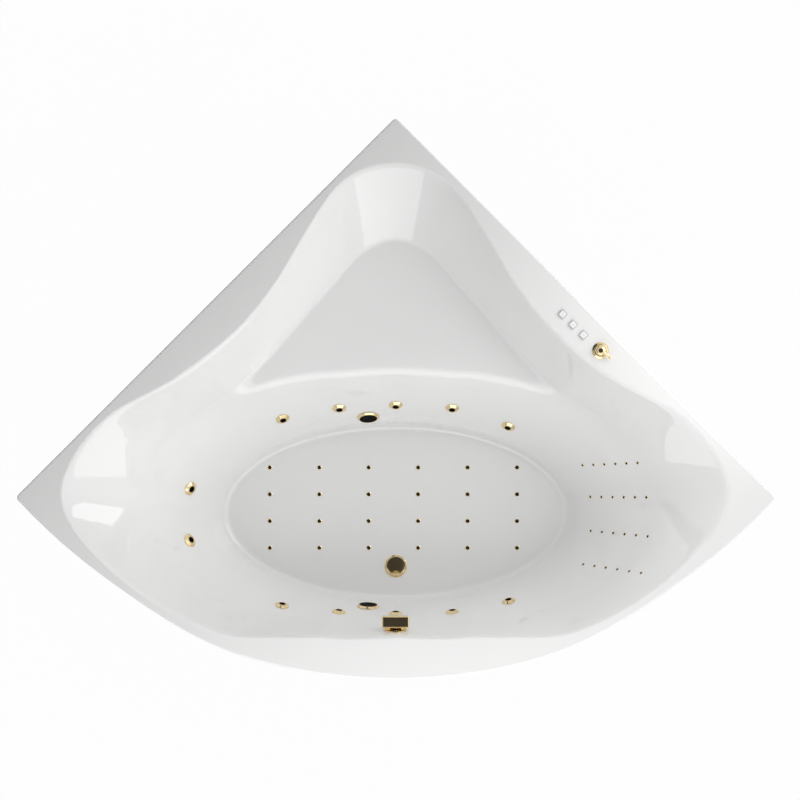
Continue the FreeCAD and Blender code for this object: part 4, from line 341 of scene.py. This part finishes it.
def plywood_finish():
    finish = Finish("birch_plywood")
    face = finish.ranged(finish.sums("ABSOLUTE", finish.facing("Z"), 0), 0.6, 0.8)
    rings = finish.bands(5, "Y", 6, finish.stretched((0.7, 6, 6)))
    fleck = finish.noise(60, detail=6, place=finish.stretched((0.6, 9, 9)))
    grain = finish.blend(rings, (0.50, 0.33, 0.17), (0.68, 0.50, 0.29))
    long_grain = finish.blend(finish.ranged(fleck, 0.45, 0.7), grain, (0.42, 0.27, 0.13))
    plies = finish.bands(105, "Z", 0.6)
    edge = finish.blend(finish.ranged(plies, 0.3, 0.7), (0.38, 0.25, 0.13), (0.66, 0.50, 0.31))
    finish.set(
        Base_Color=finish.blend(face, edge, long_grain),
        Roughness=finish.ranged(fleck, 0.3, 0.7, 0.5, 0.68))
    finish.bump(fleck, 0.0003)
    return finish


FEET = ["foot_left", "foot_right", "foot_corner", "foot_front_left", "foot_front_right"]
PAD_TOP = 9 * MM
powder = powder_finish()
dress(powder, "frame")
dress(zinc_finish("zinc_feet", PAD_TOP), *FEET)
zinc = zinc_finish("zinc_plate")
dress(zinc, "foot_nuts")
dress(plywood_finish(), "floor_battens", "equipment_board")


# %% Enamelled motor
def motor_finish():
    finish = Finish("motor_enamel")
    wear = finish.ranged(finish.noise(45, detail=6), 0.62, 0.72)
    paint = finish.blend(finish.noise(8), (0.10, 0.12, 0.15), (0.14, 0.16, 0.19))
    finish.set(
        Base_Color=finish.blend(wear, paint, (0.36, 0.37, 0.38)),
        Metallic=finish.sums("MULTIPLY", wear, 0.8),
        Roughness=finish.between(wear, 0.38, 0.5))
    finish.bump(finish.noise(350, detail=3), 0.0002)
    return finish


dress(motor_finish(), "pump_motor")
undressed = [name for name, item in nodes.items() if not item.data.materials[0].use_nodes]
print("nodes without a finish:", undressed)

# %% [markdown]
# ## Switch icons
# Each switch cap carries a small printed sign. The signs here are plain ones that any bath could have: a
# ring with a bar for on and off, bubbles for air, and waves for the jets. They are thin raised prints made
# of flat strips, so they show as geometry and ride on their caps when these are pressed.


# %% Printed icons on the caps
ICON_RISE = 0.12 * MM
ICON_LINE = 0.7 * MM
ICON_REACH = 3.6 * MM


def strip(mesh, points, width, closed=False):
    """Flat raised strip along points in the cap's plane."""
    total = len(points)
    lower = []
    upper = []
    for index, point in enumerate(points):
        ahead = points[(index + 1) % total] if closed or index + 1 < total else point
        behind = points[index - 1] if closed or index > 0 else point
        way = (Vector(ahead) - Vector(behind)).normalized()
        side = Vector((-way.y, way.x)) * width / 2
        pair = [Vector(point) + side, Vector(point) - side]
        lower.append([mesh.verts.new((spot.x, spot.y, 0)) for spot in pair])
        upper.append([mesh.verts.new((spot.x, spot.y, ICON_RISE)) for spot in pair])
    for index in range(total if closed else total - 1):
        after = (index + 1) % total
        mesh.faces.new((upper[index][0], upper[index][1], upper[after][1], upper[after][0]))
        mesh.faces.new((lower[index][0], lower[after][0], lower[after][1], lower[index][1]))
        mesh.faces.new((upper[index][0], upper[after][0], lower[after][0], lower[index][0]))
        mesh.faces.new((upper[after][1], upper[index][1], lower[index][1], lower[after][1]))
    if not closed:
        mesh.faces.new((upper[0][1], upper[0][0], lower[0][0], lower[0][1]))
        mesh.faces.new((upper[-1][0], upper[-1][1], lower[-1][1], lower[-1][0]))


def arc(centre, radius, start, end, steps):
    angles = [math.radians(start + (end - start) * step / steps) for step in range(steps + 1)]
    return [(centre[0] + radius * math.cos(angle), centre[1] + radius * math.sin(angle)) for angle in angles]


def circle(centre, radius, steps=32):
    return arc(centre, radius, 0, 360, steps)[:-1]


def power_icon(mesh):
    strip(mesh, arc((0, 0), ICON_REACH * 0.8, 125, 415, 40), ICON_LINE)
    strip(mesh, [(0, ICON_REACH * 0.2), (0, ICON_REACH)], ICON_LINE)


def bubble_icon(mesh):
    for place, radius in (((-0.35, -0.3), 0.5), ((0.55, -0.1), 0.34), ((0.1, 0.7), 0.26)):
        centre = (place[0] * ICON_REACH, place[1] * ICON_REACH)
        strip(mesh, circle(centre, radius * ICON_REACH), ICON_LINE * 0.8, closed=True)


def wave_icon(mesh):
    for height in (-0.6, 0, 0.6):
        points = [((step / 12 - 1) * ICON_REACH, (height + 0.18 * math.sin(step * math.pi / 6)) * ICON_REACH)
                  for step in range(25)]
        strip(mesh, points, ICON_LINE * 0.8)


icon_ink = moulded("icon_ink", (0.50, 0.50, 0.51), (0.56, 0.56, 0.57), 0.5)
WALL_TURN = Matrix.Rotation(math.radians(-45), 4, "Z")


def piece(name, mesh, finish, body, place):
    """Turn a bmesh into a named piece that rides on a body."""
    bmesh.ops.recalc_face_normals(mesh, faces=mesh.faces)
    data = bpy.data.meshes.new(name)
    mesh.to_mesh(data)
    mesh.free()
    data.materials.append(finish.material)
    item = bpy.data.objects.new(name, data)
    item.matrix_world = place
    bpy.context.scene.collection.objects.link(item)
    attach(item, body)
    return item


def print_icon(cap, draw):
    low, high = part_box(cap)
    mesh = bmesh.new()
    draw(mesh)
    middle = (low + high) / 2
    place = Matrix.Translation((middle.x, middle.y, high.z)) @ WALL_TURN
    icon = piece(cap + "_icon", mesh, icon_ink, cap, place)
    print(icon.name, "faces:", len(icon.data.polygons))


for cap, draw in (("button_1", power_icon), ("button_2", bubble_icon), ("button_3", wave_icon)):
    print_icon(cap, draw)

# %% [markdown]
# ## Small round parts
# Screws, bands and inserts are turned shapes: a profile of radii and heights swept round an axis. Each one
# is built standing at the origin with its axis up, then a placement stands it where it belongs.


# %% Turning a profile
def lathe(mesh, profile, closed=False, steps=32):
    """Sweep (radius, height) points round Z; a radius of nought makes a pole."""
    rings = []
    for radius, height in profile:
        count = steps if radius > 0 else 1
        turns = [2 * math.pi * index / count for index in range(count)]
        spots = [(radius * math.cos(turn), radius * math.sin(turn), height) for turn in turns]
        rings.append([mesh.verts.new(spot) for spot in spots])
    pairs = list(zip(rings, rings[1:]))
    if closed:
        pairs.append((rings[-1], rings[0]))
    for first, second in pairs:
        for index in range(steps):
            after = (index + 1) % steps
            around = [first[index % len(first)], first[after % len(first)],
                      second[after % len(second)], second[index % len(second)]]
            mesh.faces.new(list(dict.fromkeys(around)))
    return [vertex for ring in rings for vertex in ring]


def block(mesh, centre, sides):
    """Add a box with these sides, with its middle at centre."""
    bmesh.ops.create_cube(mesh, size=1, matrix=Matrix.Translation(centre) @ Matrix.Diagonal((*sides, 1)))


def standing(spot, way):
    """Placement that moves the origin to spot and turns Z along way."""
    return Matrix.Translation(spot) @ Vector(way).to_track_quat("Z", "Y").to_matrix().to_4x4()


# %% [markdown]
# ## Dark throats in the nozzles
# Seen from above, every jet is a gold ring with a dark heart: a black ball, and in its mouth a black insert
# whose three vanes straighten the water. The insert sits below the flare of its nozzle and tilts with it.
# Where a nozzle points follows from its own vertices: the ball is round about one axis only, and that axis
# has the odd one out of the three spreads.

# %% Vaned inserts
THROAT_RADIUS = 4.4 * MM
THROAT_BELOW_FACE = 5.2 * MM
VANE_HIGH = 1.6 * MM
VANE_THICK = 0.7 * MM
BASIN_MIDDLE = Vector((0, -0.336, 0.45))


def nozzle_axis(name):
    """Middle of a nozzle ball, its way into the basin and how far its flat face stands out."""
    spots = np.array([vertex.co for vertex in nodes[name].data.vertices])
    middle = Vector(joints[name + "_aim"]["pos_m"])
    spreads, ways = np.linalg.eigh(np.cov(spots.T))
    odd = 0 if spreads[1] - spreads[0] > spreads[2] - spreads[1] else 2
    way = Vector(ways[:, odd])
    if way.dot(BASIN_MIDDLE - middle) < 0:
        way = -way
    reach = max((Vector(spot) - middle).dot(way) for spot in spots)
    return middle, way, reach


for name in NOZZLES:
    middle, way, reach = nozzle_axis(name)
    mesh = bmesh.new()
    lathe(mesh, [(0, 0), (THROAT_RADIUS, 0), (THROAT_RADIUS, VANE_HIGH / 2), (0, VANE_HIGH / 2)])
    for turn in range(3):
        blade = bmesh.ops.create_cube(mesh, size=1)["verts"]
        bmesh.ops.scale(mesh, vec=(THROAT_RADIUS * 1.9, VANE_THICK, VANE_HIGH), verts=blade)
        bmesh.ops.translate(mesh, vec=(0, 0, VANE_HIGH), verts=blade)
        bmesh.ops.rotate(mesh, matrix=Matrix.Rotation(math.radians(60 * turn), 3, "Z"), verts=blade)
    seat = middle + way * (reach - THROAT_BELOW_FACE)
    piece(name + "_throat", mesh, grille_black, name, standing(seat, way))
print("throats:", len(NOZZLES))

# %% [markdown]
# ## Where round parts end
# Seats and clamps both belong on the flat ends of round parts. These could be typed in as coordinates, but
# the meshes already hold them: spread out from a face over all neighbours in the same plane, and keep the
# patches with many faces. The open ends of the hoses are the largest flat patches in their meshes, and the
# tops of the air caps are smaller ones.


# %% Finding flat ends
HOSE_END_FACES = 60
CAP_TOP_FACES = 24


def flat_patches(name, least):
    """Patches of at least so many faces in one plane: middle, outward way and radius of each."""
    mesh = bmesh.new()
    mesh.from_mesh(nodes[name].data)
    seen = set()
    found = []
    for face in mesh.faces:
        if face in seen:
            continue
        patch = [face]
        seen.add(face)
        for member in patch:
            for edge in member.edges:
                for other in edge.link_faces:
                    if other not in seen and other.normal.dot(face.normal) > 0.9998:
                        seen.add(other)
                        patch.append(other)
        if len(patch) >= least:
            spots = [vertex.co.copy() for member in patch for vertex in member.verts]
            lows = Vector(min(spot[axis] for spot in spots) for axis in range(3))
            highs = Vector(max(spot[axis] for spot in spots) for axis in range(3))
            middle = (lows + highs) / 2
            radius = max((spot - middle).length for spot in spots)
            found.append((middle, face.normal.copy(), radius))
    mesh.free()
    return found


# %% [markdown]
# ## Black seats in the air caps
# The small air caps in floor and backrest show a black heart in a gold rim: a thin rubber seat lies on the
# flat top of each cap, round its air hole, with a brim that follows the slope outside it. The flat tops are
# found in the same way as the hose ends, and the seats of one set of caps are one piece.

# %% Rubber seats
SEAT_RISE = 0.15 * MM
SEAT_BRIM = 0.32
CAP_SLOPE = 0.62
for caps, hole in (("floor_air_caps", 1.2 * MM), ("back_air_caps", 0.8 * MM)):
    tops = [top for top in flat_patches(caps, CAP_TOP_FACES) if top[1].dot(BASIN_MIDDLE - top[0]) > 0]
    mesh = bmesh.new()
    for middle, way, radius in tops:
        brim = radius * SEAT_BRIM
        drop = brim * CAP_SLOPE
        profile = [(hole, 0), (radius, 0), (radius + brim, -drop), (radius + brim, SEAT_RISE - drop),
                   (radius, SEAT_RISE), (hole, SEAT_RISE)]
        ring = lathe(mesh, profile, closed=True, steps=20)
        bmesh.ops.transform(mesh, matrix=standing(middle, way), verts=ring)
    piece(caps + "_seats", mesh, grille_black, "tub", Matrix.Identity(4))
    print(caps, "seats:", len(tops), "radii in mm:", sorted({round(top[2] / MM, 1) for top in tops}))

# %% [markdown]
# ## Hose clamps
# Each hose is pushed over a stub and held there by a steel band with a worm screw. A band is a short tube
# just behind the open end of the hose, a block for the screw's housing and a hexagon for its head.

# %% Bands with worm screws
BAND_WIDE = 9 * MM
BAND_THICK = 0.8 * MM
BAND_FROM_END = 10 * MM
HEAD_RADIUS = 3.4 * MM
HEAD_LONG = 5 * MM


def clamp(name, middle, way, radius):
    """Steel band just behind a hose end, with its screw housing and hexagon head."""
    mesh = bmesh.new()
    inner = radius + 0.05 * MM
    outer = radius + BAND_THICK
    half = BAND_WIDE / 2
    lathe(mesh, [(inner, -half), (outer, -half), (outer, half), (inner, half)], closed=True, steps=40)
    block(mesh, (outer + 3 * MM, 0, 0), (6.4 * MM, 13 * MM, 10 * MM))
    head = Matrix.Translation((outer + 3 * MM, 9 * MM, 0)) @ Matrix.Rotation(math.radians(90), 4, "X")
    bmesh.ops.create_cone(mesh, cap_ends=True, segments=6, radius1=HEAD_RADIUS, radius2=HEAD_RADIUS,
                          depth=HEAD_LONG, matrix=head)
    piece(name, mesh, zinc, "tub", standing(middle - way * BAND_FROM_END, way))


for hose in ("water_hoses", "suction_hoses", "overflow_hose"):
    ends = flat_patches(hose, HOSE_END_FACES)
    for number, (middle, way, radius) in enumerate(ends, start=1):
        clamp(hose + "_clamp_" + str(number).zfill(2), middle, way, radius)
    print(hose, "clamps:", len(ends), "radii in mm:", sorted({round(end[2] / MM, 1) for end in ends}))

# %% [markdown]
# ## Frame details
# The open ends of the square tubes are shut with ribbed plastic plugs, and the tubes meet in weld beads. A
# bead is a thin rope along the seam whose thickness swells and shrinks, the way a hand-held torch leaves
# it.

# %% Tube end plugs
TUBE = 30 * MM
frame_low, frame_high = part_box("frame")
main_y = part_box("foot_left")[0].y + 26 * MM
front_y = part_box("foot_front_left")[0].y + 26 * MM
corner_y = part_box("foot_corner")[0].y + 26 * MM
post_x = frame_high.x - TUBE / 2
rail_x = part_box("foot_front_right")[0].x + 26 * MM
lower_z = frame_low.z + TUBE / 2
upper_z = lower_z + TUBE
rail_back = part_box("equipment_board")[1].y - 5 * MM
tube_ends = [
    ((frame_high.x, main_y, lower_z), (1, 0, 0)), ((frame_low.x, main_y, lower_z), (-1, 0, 0)),
    ((rail_x + TUBE, front_y, lower_z), (1, 0, 0)), ((-rail_x - TUBE, front_y, lower_z), (-1, 0, 0)),
    ((rail_x, frame_low.y, upper_z), (0, -1, 0)), ((-rail_x, frame_low.y, upper_z), (0, -1, 0)),
    ((rail_x, rail_back, upper_z), (0, 1, 0)), ((-rail_x, rail_back, upper_z), (0, 1, 0)),
    ((0, frame_high.y, lower_z), (0, 1, 0))]
PLUG_LIP = 2.4 * MM


def end_plug(name, spot, way):
    """Square plastic cap on a tube end, with a shallow raised cross."""
    mesh = bmesh.new()
    block(mesh, (0, 0, PLUG_LIP / 2), (TUBE - 0.4 * MM, TUBE - 0.4 * MM, PLUG_LIP))
    bmesh.ops.bevel(mesh, geom=mesh.edges[:], offset=0.8 * MM, segments=2, affect="EDGES")
    block(mesh, (0, 0, PLUG_LIP), (TUBE * 0.6, 2 * MM, 0.8 * MM))
    block(mesh, (0, 0, PLUG_LIP), (2 * MM, TUBE * 0.6, 0.8 * MM))
    piece(name, mesh, black_plastic, "tub", standing(spot, way))


for number, (spot, way) in enumerate(tube_ends, start=1):
    end_plug("tube_plug_" + str(number), spot, way)
print("plugs:", len(tube_ends))

# %% Weld beads
BEAD = 2.2 * MM
BEAD_STEP = 3 * MM
BEAD_SIDES = 8


def square_path(centre, first, second):
    """Points round a square of tube size in the plane of two directions."""
    half = TUBE / 2
    turns = [(-1, -1), (1, -1), (1, 1), (-1, 1)]
    knees = [Vector(centre) + Vector(first) * half * a + Vector(second) * half * b for a, b in turns]
    points = []
    for start, end in zip(knees, knees[1:] + knees[:1]):
        count = round((end - start).length / BEAD_STEP)
        points += [start.lerp(end, step / count) for step in range(count)]
    return points


def weld(name, centre, first, second):
    """Rippled rope along the seam round a square tube."""
    points = square_path(centre, first, second)
    across = Vector(first).cross(Vector(second))
    mesh = bmesh.new()
    rings = []
    for index, point in enumerate(points):
        out = (point - Vector(centre)).normalized()
        swell = BEAD * (1 + 0.22 * (index % 2) + 0.08 * math.sin(index * 1.7))
        angles = [2 * math.pi * side / BEAD_SIDES for side in range(BEAD_SIDES)]
        rings.append([mesh.verts.new(point + (out * math.cos(angle) + across * math.sin(angle)) * swell)
                      for angle in angles])
    for first_ring, second_ring in zip(rings, rings[1:] + rings[:1]):
        for side in range(BEAD_SIDES):
            after = (side + 1) % BEAD_SIDES
            mesh.faces.new((first_ring[side], first_ring[after], second_ring[after], second_ring[side]))
    item = piece(name, mesh, powder, "tub", Matrix.Identity(4))
    item.data.shade_smooth()


EAST = (1, 0, 0)
NORTH = (0, 1, 0)
UP = (0, 0, 1)
seam_z = frame_low.z + TUBE
flat_seams = [(post_x, main_y), (-post_x, main_y), (0, corner_y), (rail_x, main_y), (-rail_x, main_y),
              (rail_x, front_y), (-rail_x, front_y)]
for number, (x, y) in enumerate(flat_seams, start=1):
    weld("weld_" + str(number), (x, y, seam_z), EAST, NORTH)
weld("weld_" + str(len(flat_seams) + 1), (0, main_y + TUBE / 2, lower_z), EAST, UP)
print("welds:", len(flat_seams) + 1)

# %% [markdown]
# ## Screws
# Pan-head screws hold the lid of the control box and the equipment board. Their cross slots are two thin
# black bars let into the head: painted shade, standing for the shadow down in each slot.


# %% Cross-head screws
def screw(name, spot, way, radius):
    mesh = bmesh.new()
    high = radius * 0.5
    dome_profile = [(0, high), (radius * 0.55, high * 0.94), (radius * 0.9, high * 0.6), (radius, 0), (0, 0)]
    lathe(mesh, dome_profile, steps=24)
    place = standing(spot, way)
    head = piece(name, mesh, zinc, "tub", place)
    head.data.shade_smooth()
    # Cross slot as two black bars: painted shade for the shadow down in the slot.
    slot_shade_mesh = bmesh.new()
    block(slot_shade_mesh, (0, 0, high), (radius, radius * 0.2, high * 0.2))
    block(slot_shade_mesh, (0, 0, high), (radius * 0.2, radius, high * 0.2))
    piece(name + "_slot_shade", slot_shade_mesh, black_plastic, "tub", place)


lid_low, lid_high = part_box("control_box_lid")
LID_INSET = 9 * MM
for number, (x, z) in enumerate(((lid_low.x + LID_INSET, lid_low.z + LID_INSET),
                                 (lid_high.x - LID_INSET, lid_low.z + LID_INSET),
                                 (lid_low.x + LID_INSET, lid_high.z - LID_INSET),
                                 (lid_high.x - LID_INSET, lid_high.z - LID_INSET)), start=1):
    screw("lid_screw_" + str(number), (x, lid_low.y, z), (0, -1, 0), 3.6 * MM)
board_low, board_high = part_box("equipment_board")
for number, (x, y) in enumerate(((rail_x, board_low.y + 14 * MM), (-rail_x, board_low.y + 14 * MM),
                                 (rail_x, board_high.y - 9 * MM), (-rail_x, board_high.y - 9 * MM)), start=1):
    screw("board_screw_" + str(number), (x, y, board_high.z), UP, 4.5 * MM)
print("screws: 8")

# %% [markdown]
# ## Studio
# The reference view looks straight down from about six metres above the rim, with the room corner at the
# top. The floor is pale and answers camera and mirror rays with white, so the bath stands on a clean page
# and its metal reflects that page, while lamps still meet a normal floor and leave a soft shadow.

# %% Camera above the basin
RIM = 0.62
CAMERA_ABOVE_RIM = 6.0
VIEW_WIDTH_AT_RIM = 2.23
SENSOR = 36
camera_data = bpy.data.cameras.new("camera_above")
camera_data.sensor_width = SENSOR
camera_data.lens = SENSOR * CAMERA_ABOVE_RIM / VIEW_WIDTH_AT_RIM
camera = bpy.data.objects.new("camera_above", camera_data)
camera.location = (12.5 * MM, -1.7 * MM, RIM + CAMERA_ABOVE_RIM)
bpy.context.scene.collection.objects.link(camera)
bpy.context.scene.camera = camera
bpy.context.scene.view_settings.view_transform = "Standard"
print("lens:", round(camera_data.lens, 1))


# %% Pale floor
def floor_material():
    material = bpy.data.materials.new("pale_floor")
    material.use_nodes = True
    tree = material.node_tree
    shader = tree.nodes["Principled BSDF"]
    shader.inputs["Base Color"].default_value = (0.85, 0.85, 0.85, 1)
    shader.inputs["Roughness"].default_value = 0.8
    path = tree.nodes.new("ShaderNodeLightPath")
    seen = tree.nodes.new("ShaderNodeMath")
    seen.operation = "MAXIMUM"
    tree.links.new(path.outputs["Is Camera Ray"], seen.inputs[0])
    tree.links.new(path.outputs["Is Glossy Ray"], seen.inputs[1])
    clear = tree.nodes.new("ShaderNodeMath")
    clear.operation = "MAXIMUM"
    tree.links.new(seen.outputs[0], clear.inputs[0])
    tree.links.new(path.outputs["Is Transmission Ray"], clear.inputs[1])
    share = tree.nodes.new("ShaderNodeMath")
    share.operation = "MULTIPLY"
    share.inputs[1].default_value = 0.97
    tree.links.new(clear.outputs[0], share.inputs[0])
    glow = tree.nodes.new("ShaderNodeEmission")
    mix = tree.nodes.new("ShaderNodeMixShader")
    tree.links.new(share.outputs[0], mix.inputs["Fac"])
    tree.links.new(shader.outputs["BSDF"], mix.inputs[1])
    tree.links.new(glow.outputs["Emission"], mix.inputs[2])
    tree.links.new(mix.outputs["Shader"], tree.nodes["Material Output"].inputs["Surface"])
    return material


FLOOR_REACH = 14
floor_data = bpy.data.meshes.new("studio_floor")
corners = [(x * FLOOR_REACH, y * FLOOR_REACH, 0) for x, y in ((-1, -1), (1, -1), (1, 1), (-1, 1))]
floor_data.from_pydata(corners, [], [(0, 1, 2, 3)])
floor_data.materials.append(floor_material())
studio_floor = bpy.data.objects.new("studio_floor", floor_data)
bpy.context.scene.collection.objects.link(studio_floor)
print("floor reach in metres:", FLOOR_REACH)


# %% [markdown]
# ## Light
# Polished acrylic shows its lamps as bright shapes, and those shapes tell where the lamps stand. In the
# reference the left end of the basin, the back of the seat and the right end all mirror one wide panel just
# in front of the bath, and the left end mirrors a narrow one behind the right edge. Flat gold tops mirror a
# dark ceiling. So the room is a soft dome with a dark spot overhead and a brighter top round that spot,
# with a little more light on the right and two panels near the bath.


# %% Dome with a dark spot overhead
def dome(level, lean, bands):
    """Soft light: level all round, more toward lean; a band scales it between two angles from straight up."""
    world = bpy.data.worlds.new("soft_dome")
    bpy.context.scene.world = world
    world.use_nodes = True
    tree = world.node_tree
    way = tree.nodes.new("ShaderNodeTexCoord")
    tilt = tree.nodes.new("ShaderNodeVectorMath")
    tilt.operation = "DOT_PRODUCT"
    tree.links.new(way.outputs["Generated"], tilt.inputs[0])
    tilt.inputs[1].default_value = lean
    glow = tree.nodes.new("ShaderNodeMath")
    glow.operation = "ADD"
    tree.links.new(tilt.outputs["Value"], glow.inputs[0])
    glow.inputs[1].default_value = level
    split = tree.nodes.new("ShaderNodeSeparateXYZ")
    tree.links.new(way.outputs["Generated"], split.inputs["Vector"])
    strength = glow.outputs["Value"]
    for outer, inner, outside, inside in bands:
        fade = tree.nodes.new("ShaderNodeMapRange")
        fade.interpolation_type = "SMOOTHSTEP"
        tree.links.new(split.outputs["Z"], fade.inputs["Value"])
        fade.inputs["From Min"].default_value = math.cos(math.radians(outer))
        fade.inputs["From Max"].default_value = math.cos(math.radians(inner))
        fade.inputs["To Min"].default_value = outside
        fade.inputs["To Max"].default_value = inside
        times = tree.nodes.new("ShaderNodeMath")
        times.operation = "MULTIPLY"
        tree.links.new(strength, times.inputs[0])
        tree.links.new(fade.outputs["Result"], times.inputs[1])
        strength = times.outputs["Value"]
    tree.links.new(strength, tree.nodes["Background"].inputs["Strength"])
    tree.nodes["Background"].inputs["Color"].default_value = (1, 1, 1, 1)
    print("bands:", len(bands))


def panel(name, place, facing, width, height, strength):
    """Upright light panel; strength is its brightness as a mirror shows it."""
    lamp = bpy.data.lights.new(name, "AREA")
    lamp.shape = "RECTANGLE"
    lamp.size = width
    lamp.size_y = height
    lamp.energy = strength * math.pi * width * height
    item = bpy.data.objects.new(name, lamp)
    item.location = place
    item.rotation_euler = Vector(facing).to_track_quat("-Z", "Y").to_euler()
    item.visible_camera = False
    bpy.context.scene.collection.objects.link(item)
    print(name, "watts:", round(lamp.energy, 1))


DARK_SPOT = (24.5, 22.5, 1, 0.05)
BRIGHT_TOP = (60, 30, 1, 1.45)
dome(0.735, (0.25, 0.02, 0), [DARK_SPOT, BRIGHT_TOP])
panel("front_panel", (0.2, -1.14, 1.18), (0, 1, -0.1), 1.6, 0.85, 1.2)
panel("right_panel", (1.01, 0.27, 1.12), (-1, -1, -0.1), 0.67, 0.8, 2.0)

# %% [markdown]
# ## A dark backdrop
# In the reference the left wall edge ends in a thin dark line, because its rounded edge faces the dark side
# of the studio. A long black backdrop hangs behind that edge, out of the camera's sight, and takes the
# light from there. It ends just below the rim, so that the turned-down edge still gets light from the
# floor.

# %% Backdrop behind the left wall edge
BACKDROP_GAP = 0.25
BACKDROP_LONG = 2.2
BACKDROP_FOOT = 0.58
BACKDROP_TOP = 0.9
backdrop_black = moulded("backdrop_black", (0.01, 0.01, 0.01), (0.02, 0.02, 0.02), 0.8)
shell_low, shell_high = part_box("tub_shell")
wall_middle = Vector((shell_low.x / 2, shell_high.y + shell_low.x / 2, 0))
outward = Vector((-1, 1, 0)).normalized()
along = Vector((1, 1, 0)).normalized()
backdrop_data = bpy.data.meshes.new("dark_backdrop")
foot = wall_middle + outward * BACKDROP_GAP + Vector((0, 0, BACKDROP_FOOT))
left_foot = foot - along * BACKDROP_LONG / 2
right_foot = foot + along * BACKDROP_LONG / 2
rise = Vector((0, 0, BACKDROP_TOP - BACKDROP_FOOT))
backdrop_data.from_pydata([left_foot, right_foot, right_foot + rise, left_foot + rise], [], [(0, 1, 2, 3)])
backdrop_data.materials.append(backdrop_black.material)
backdrop = bpy.data.objects.new("dark_backdrop", backdrop_data)
bpy.context.scene.collection.objects.link(backdrop)
backdrop.visible_camera = False
print("backdrop in metres:", BACKDROP_LONG, "by", round(rise.z, 2))
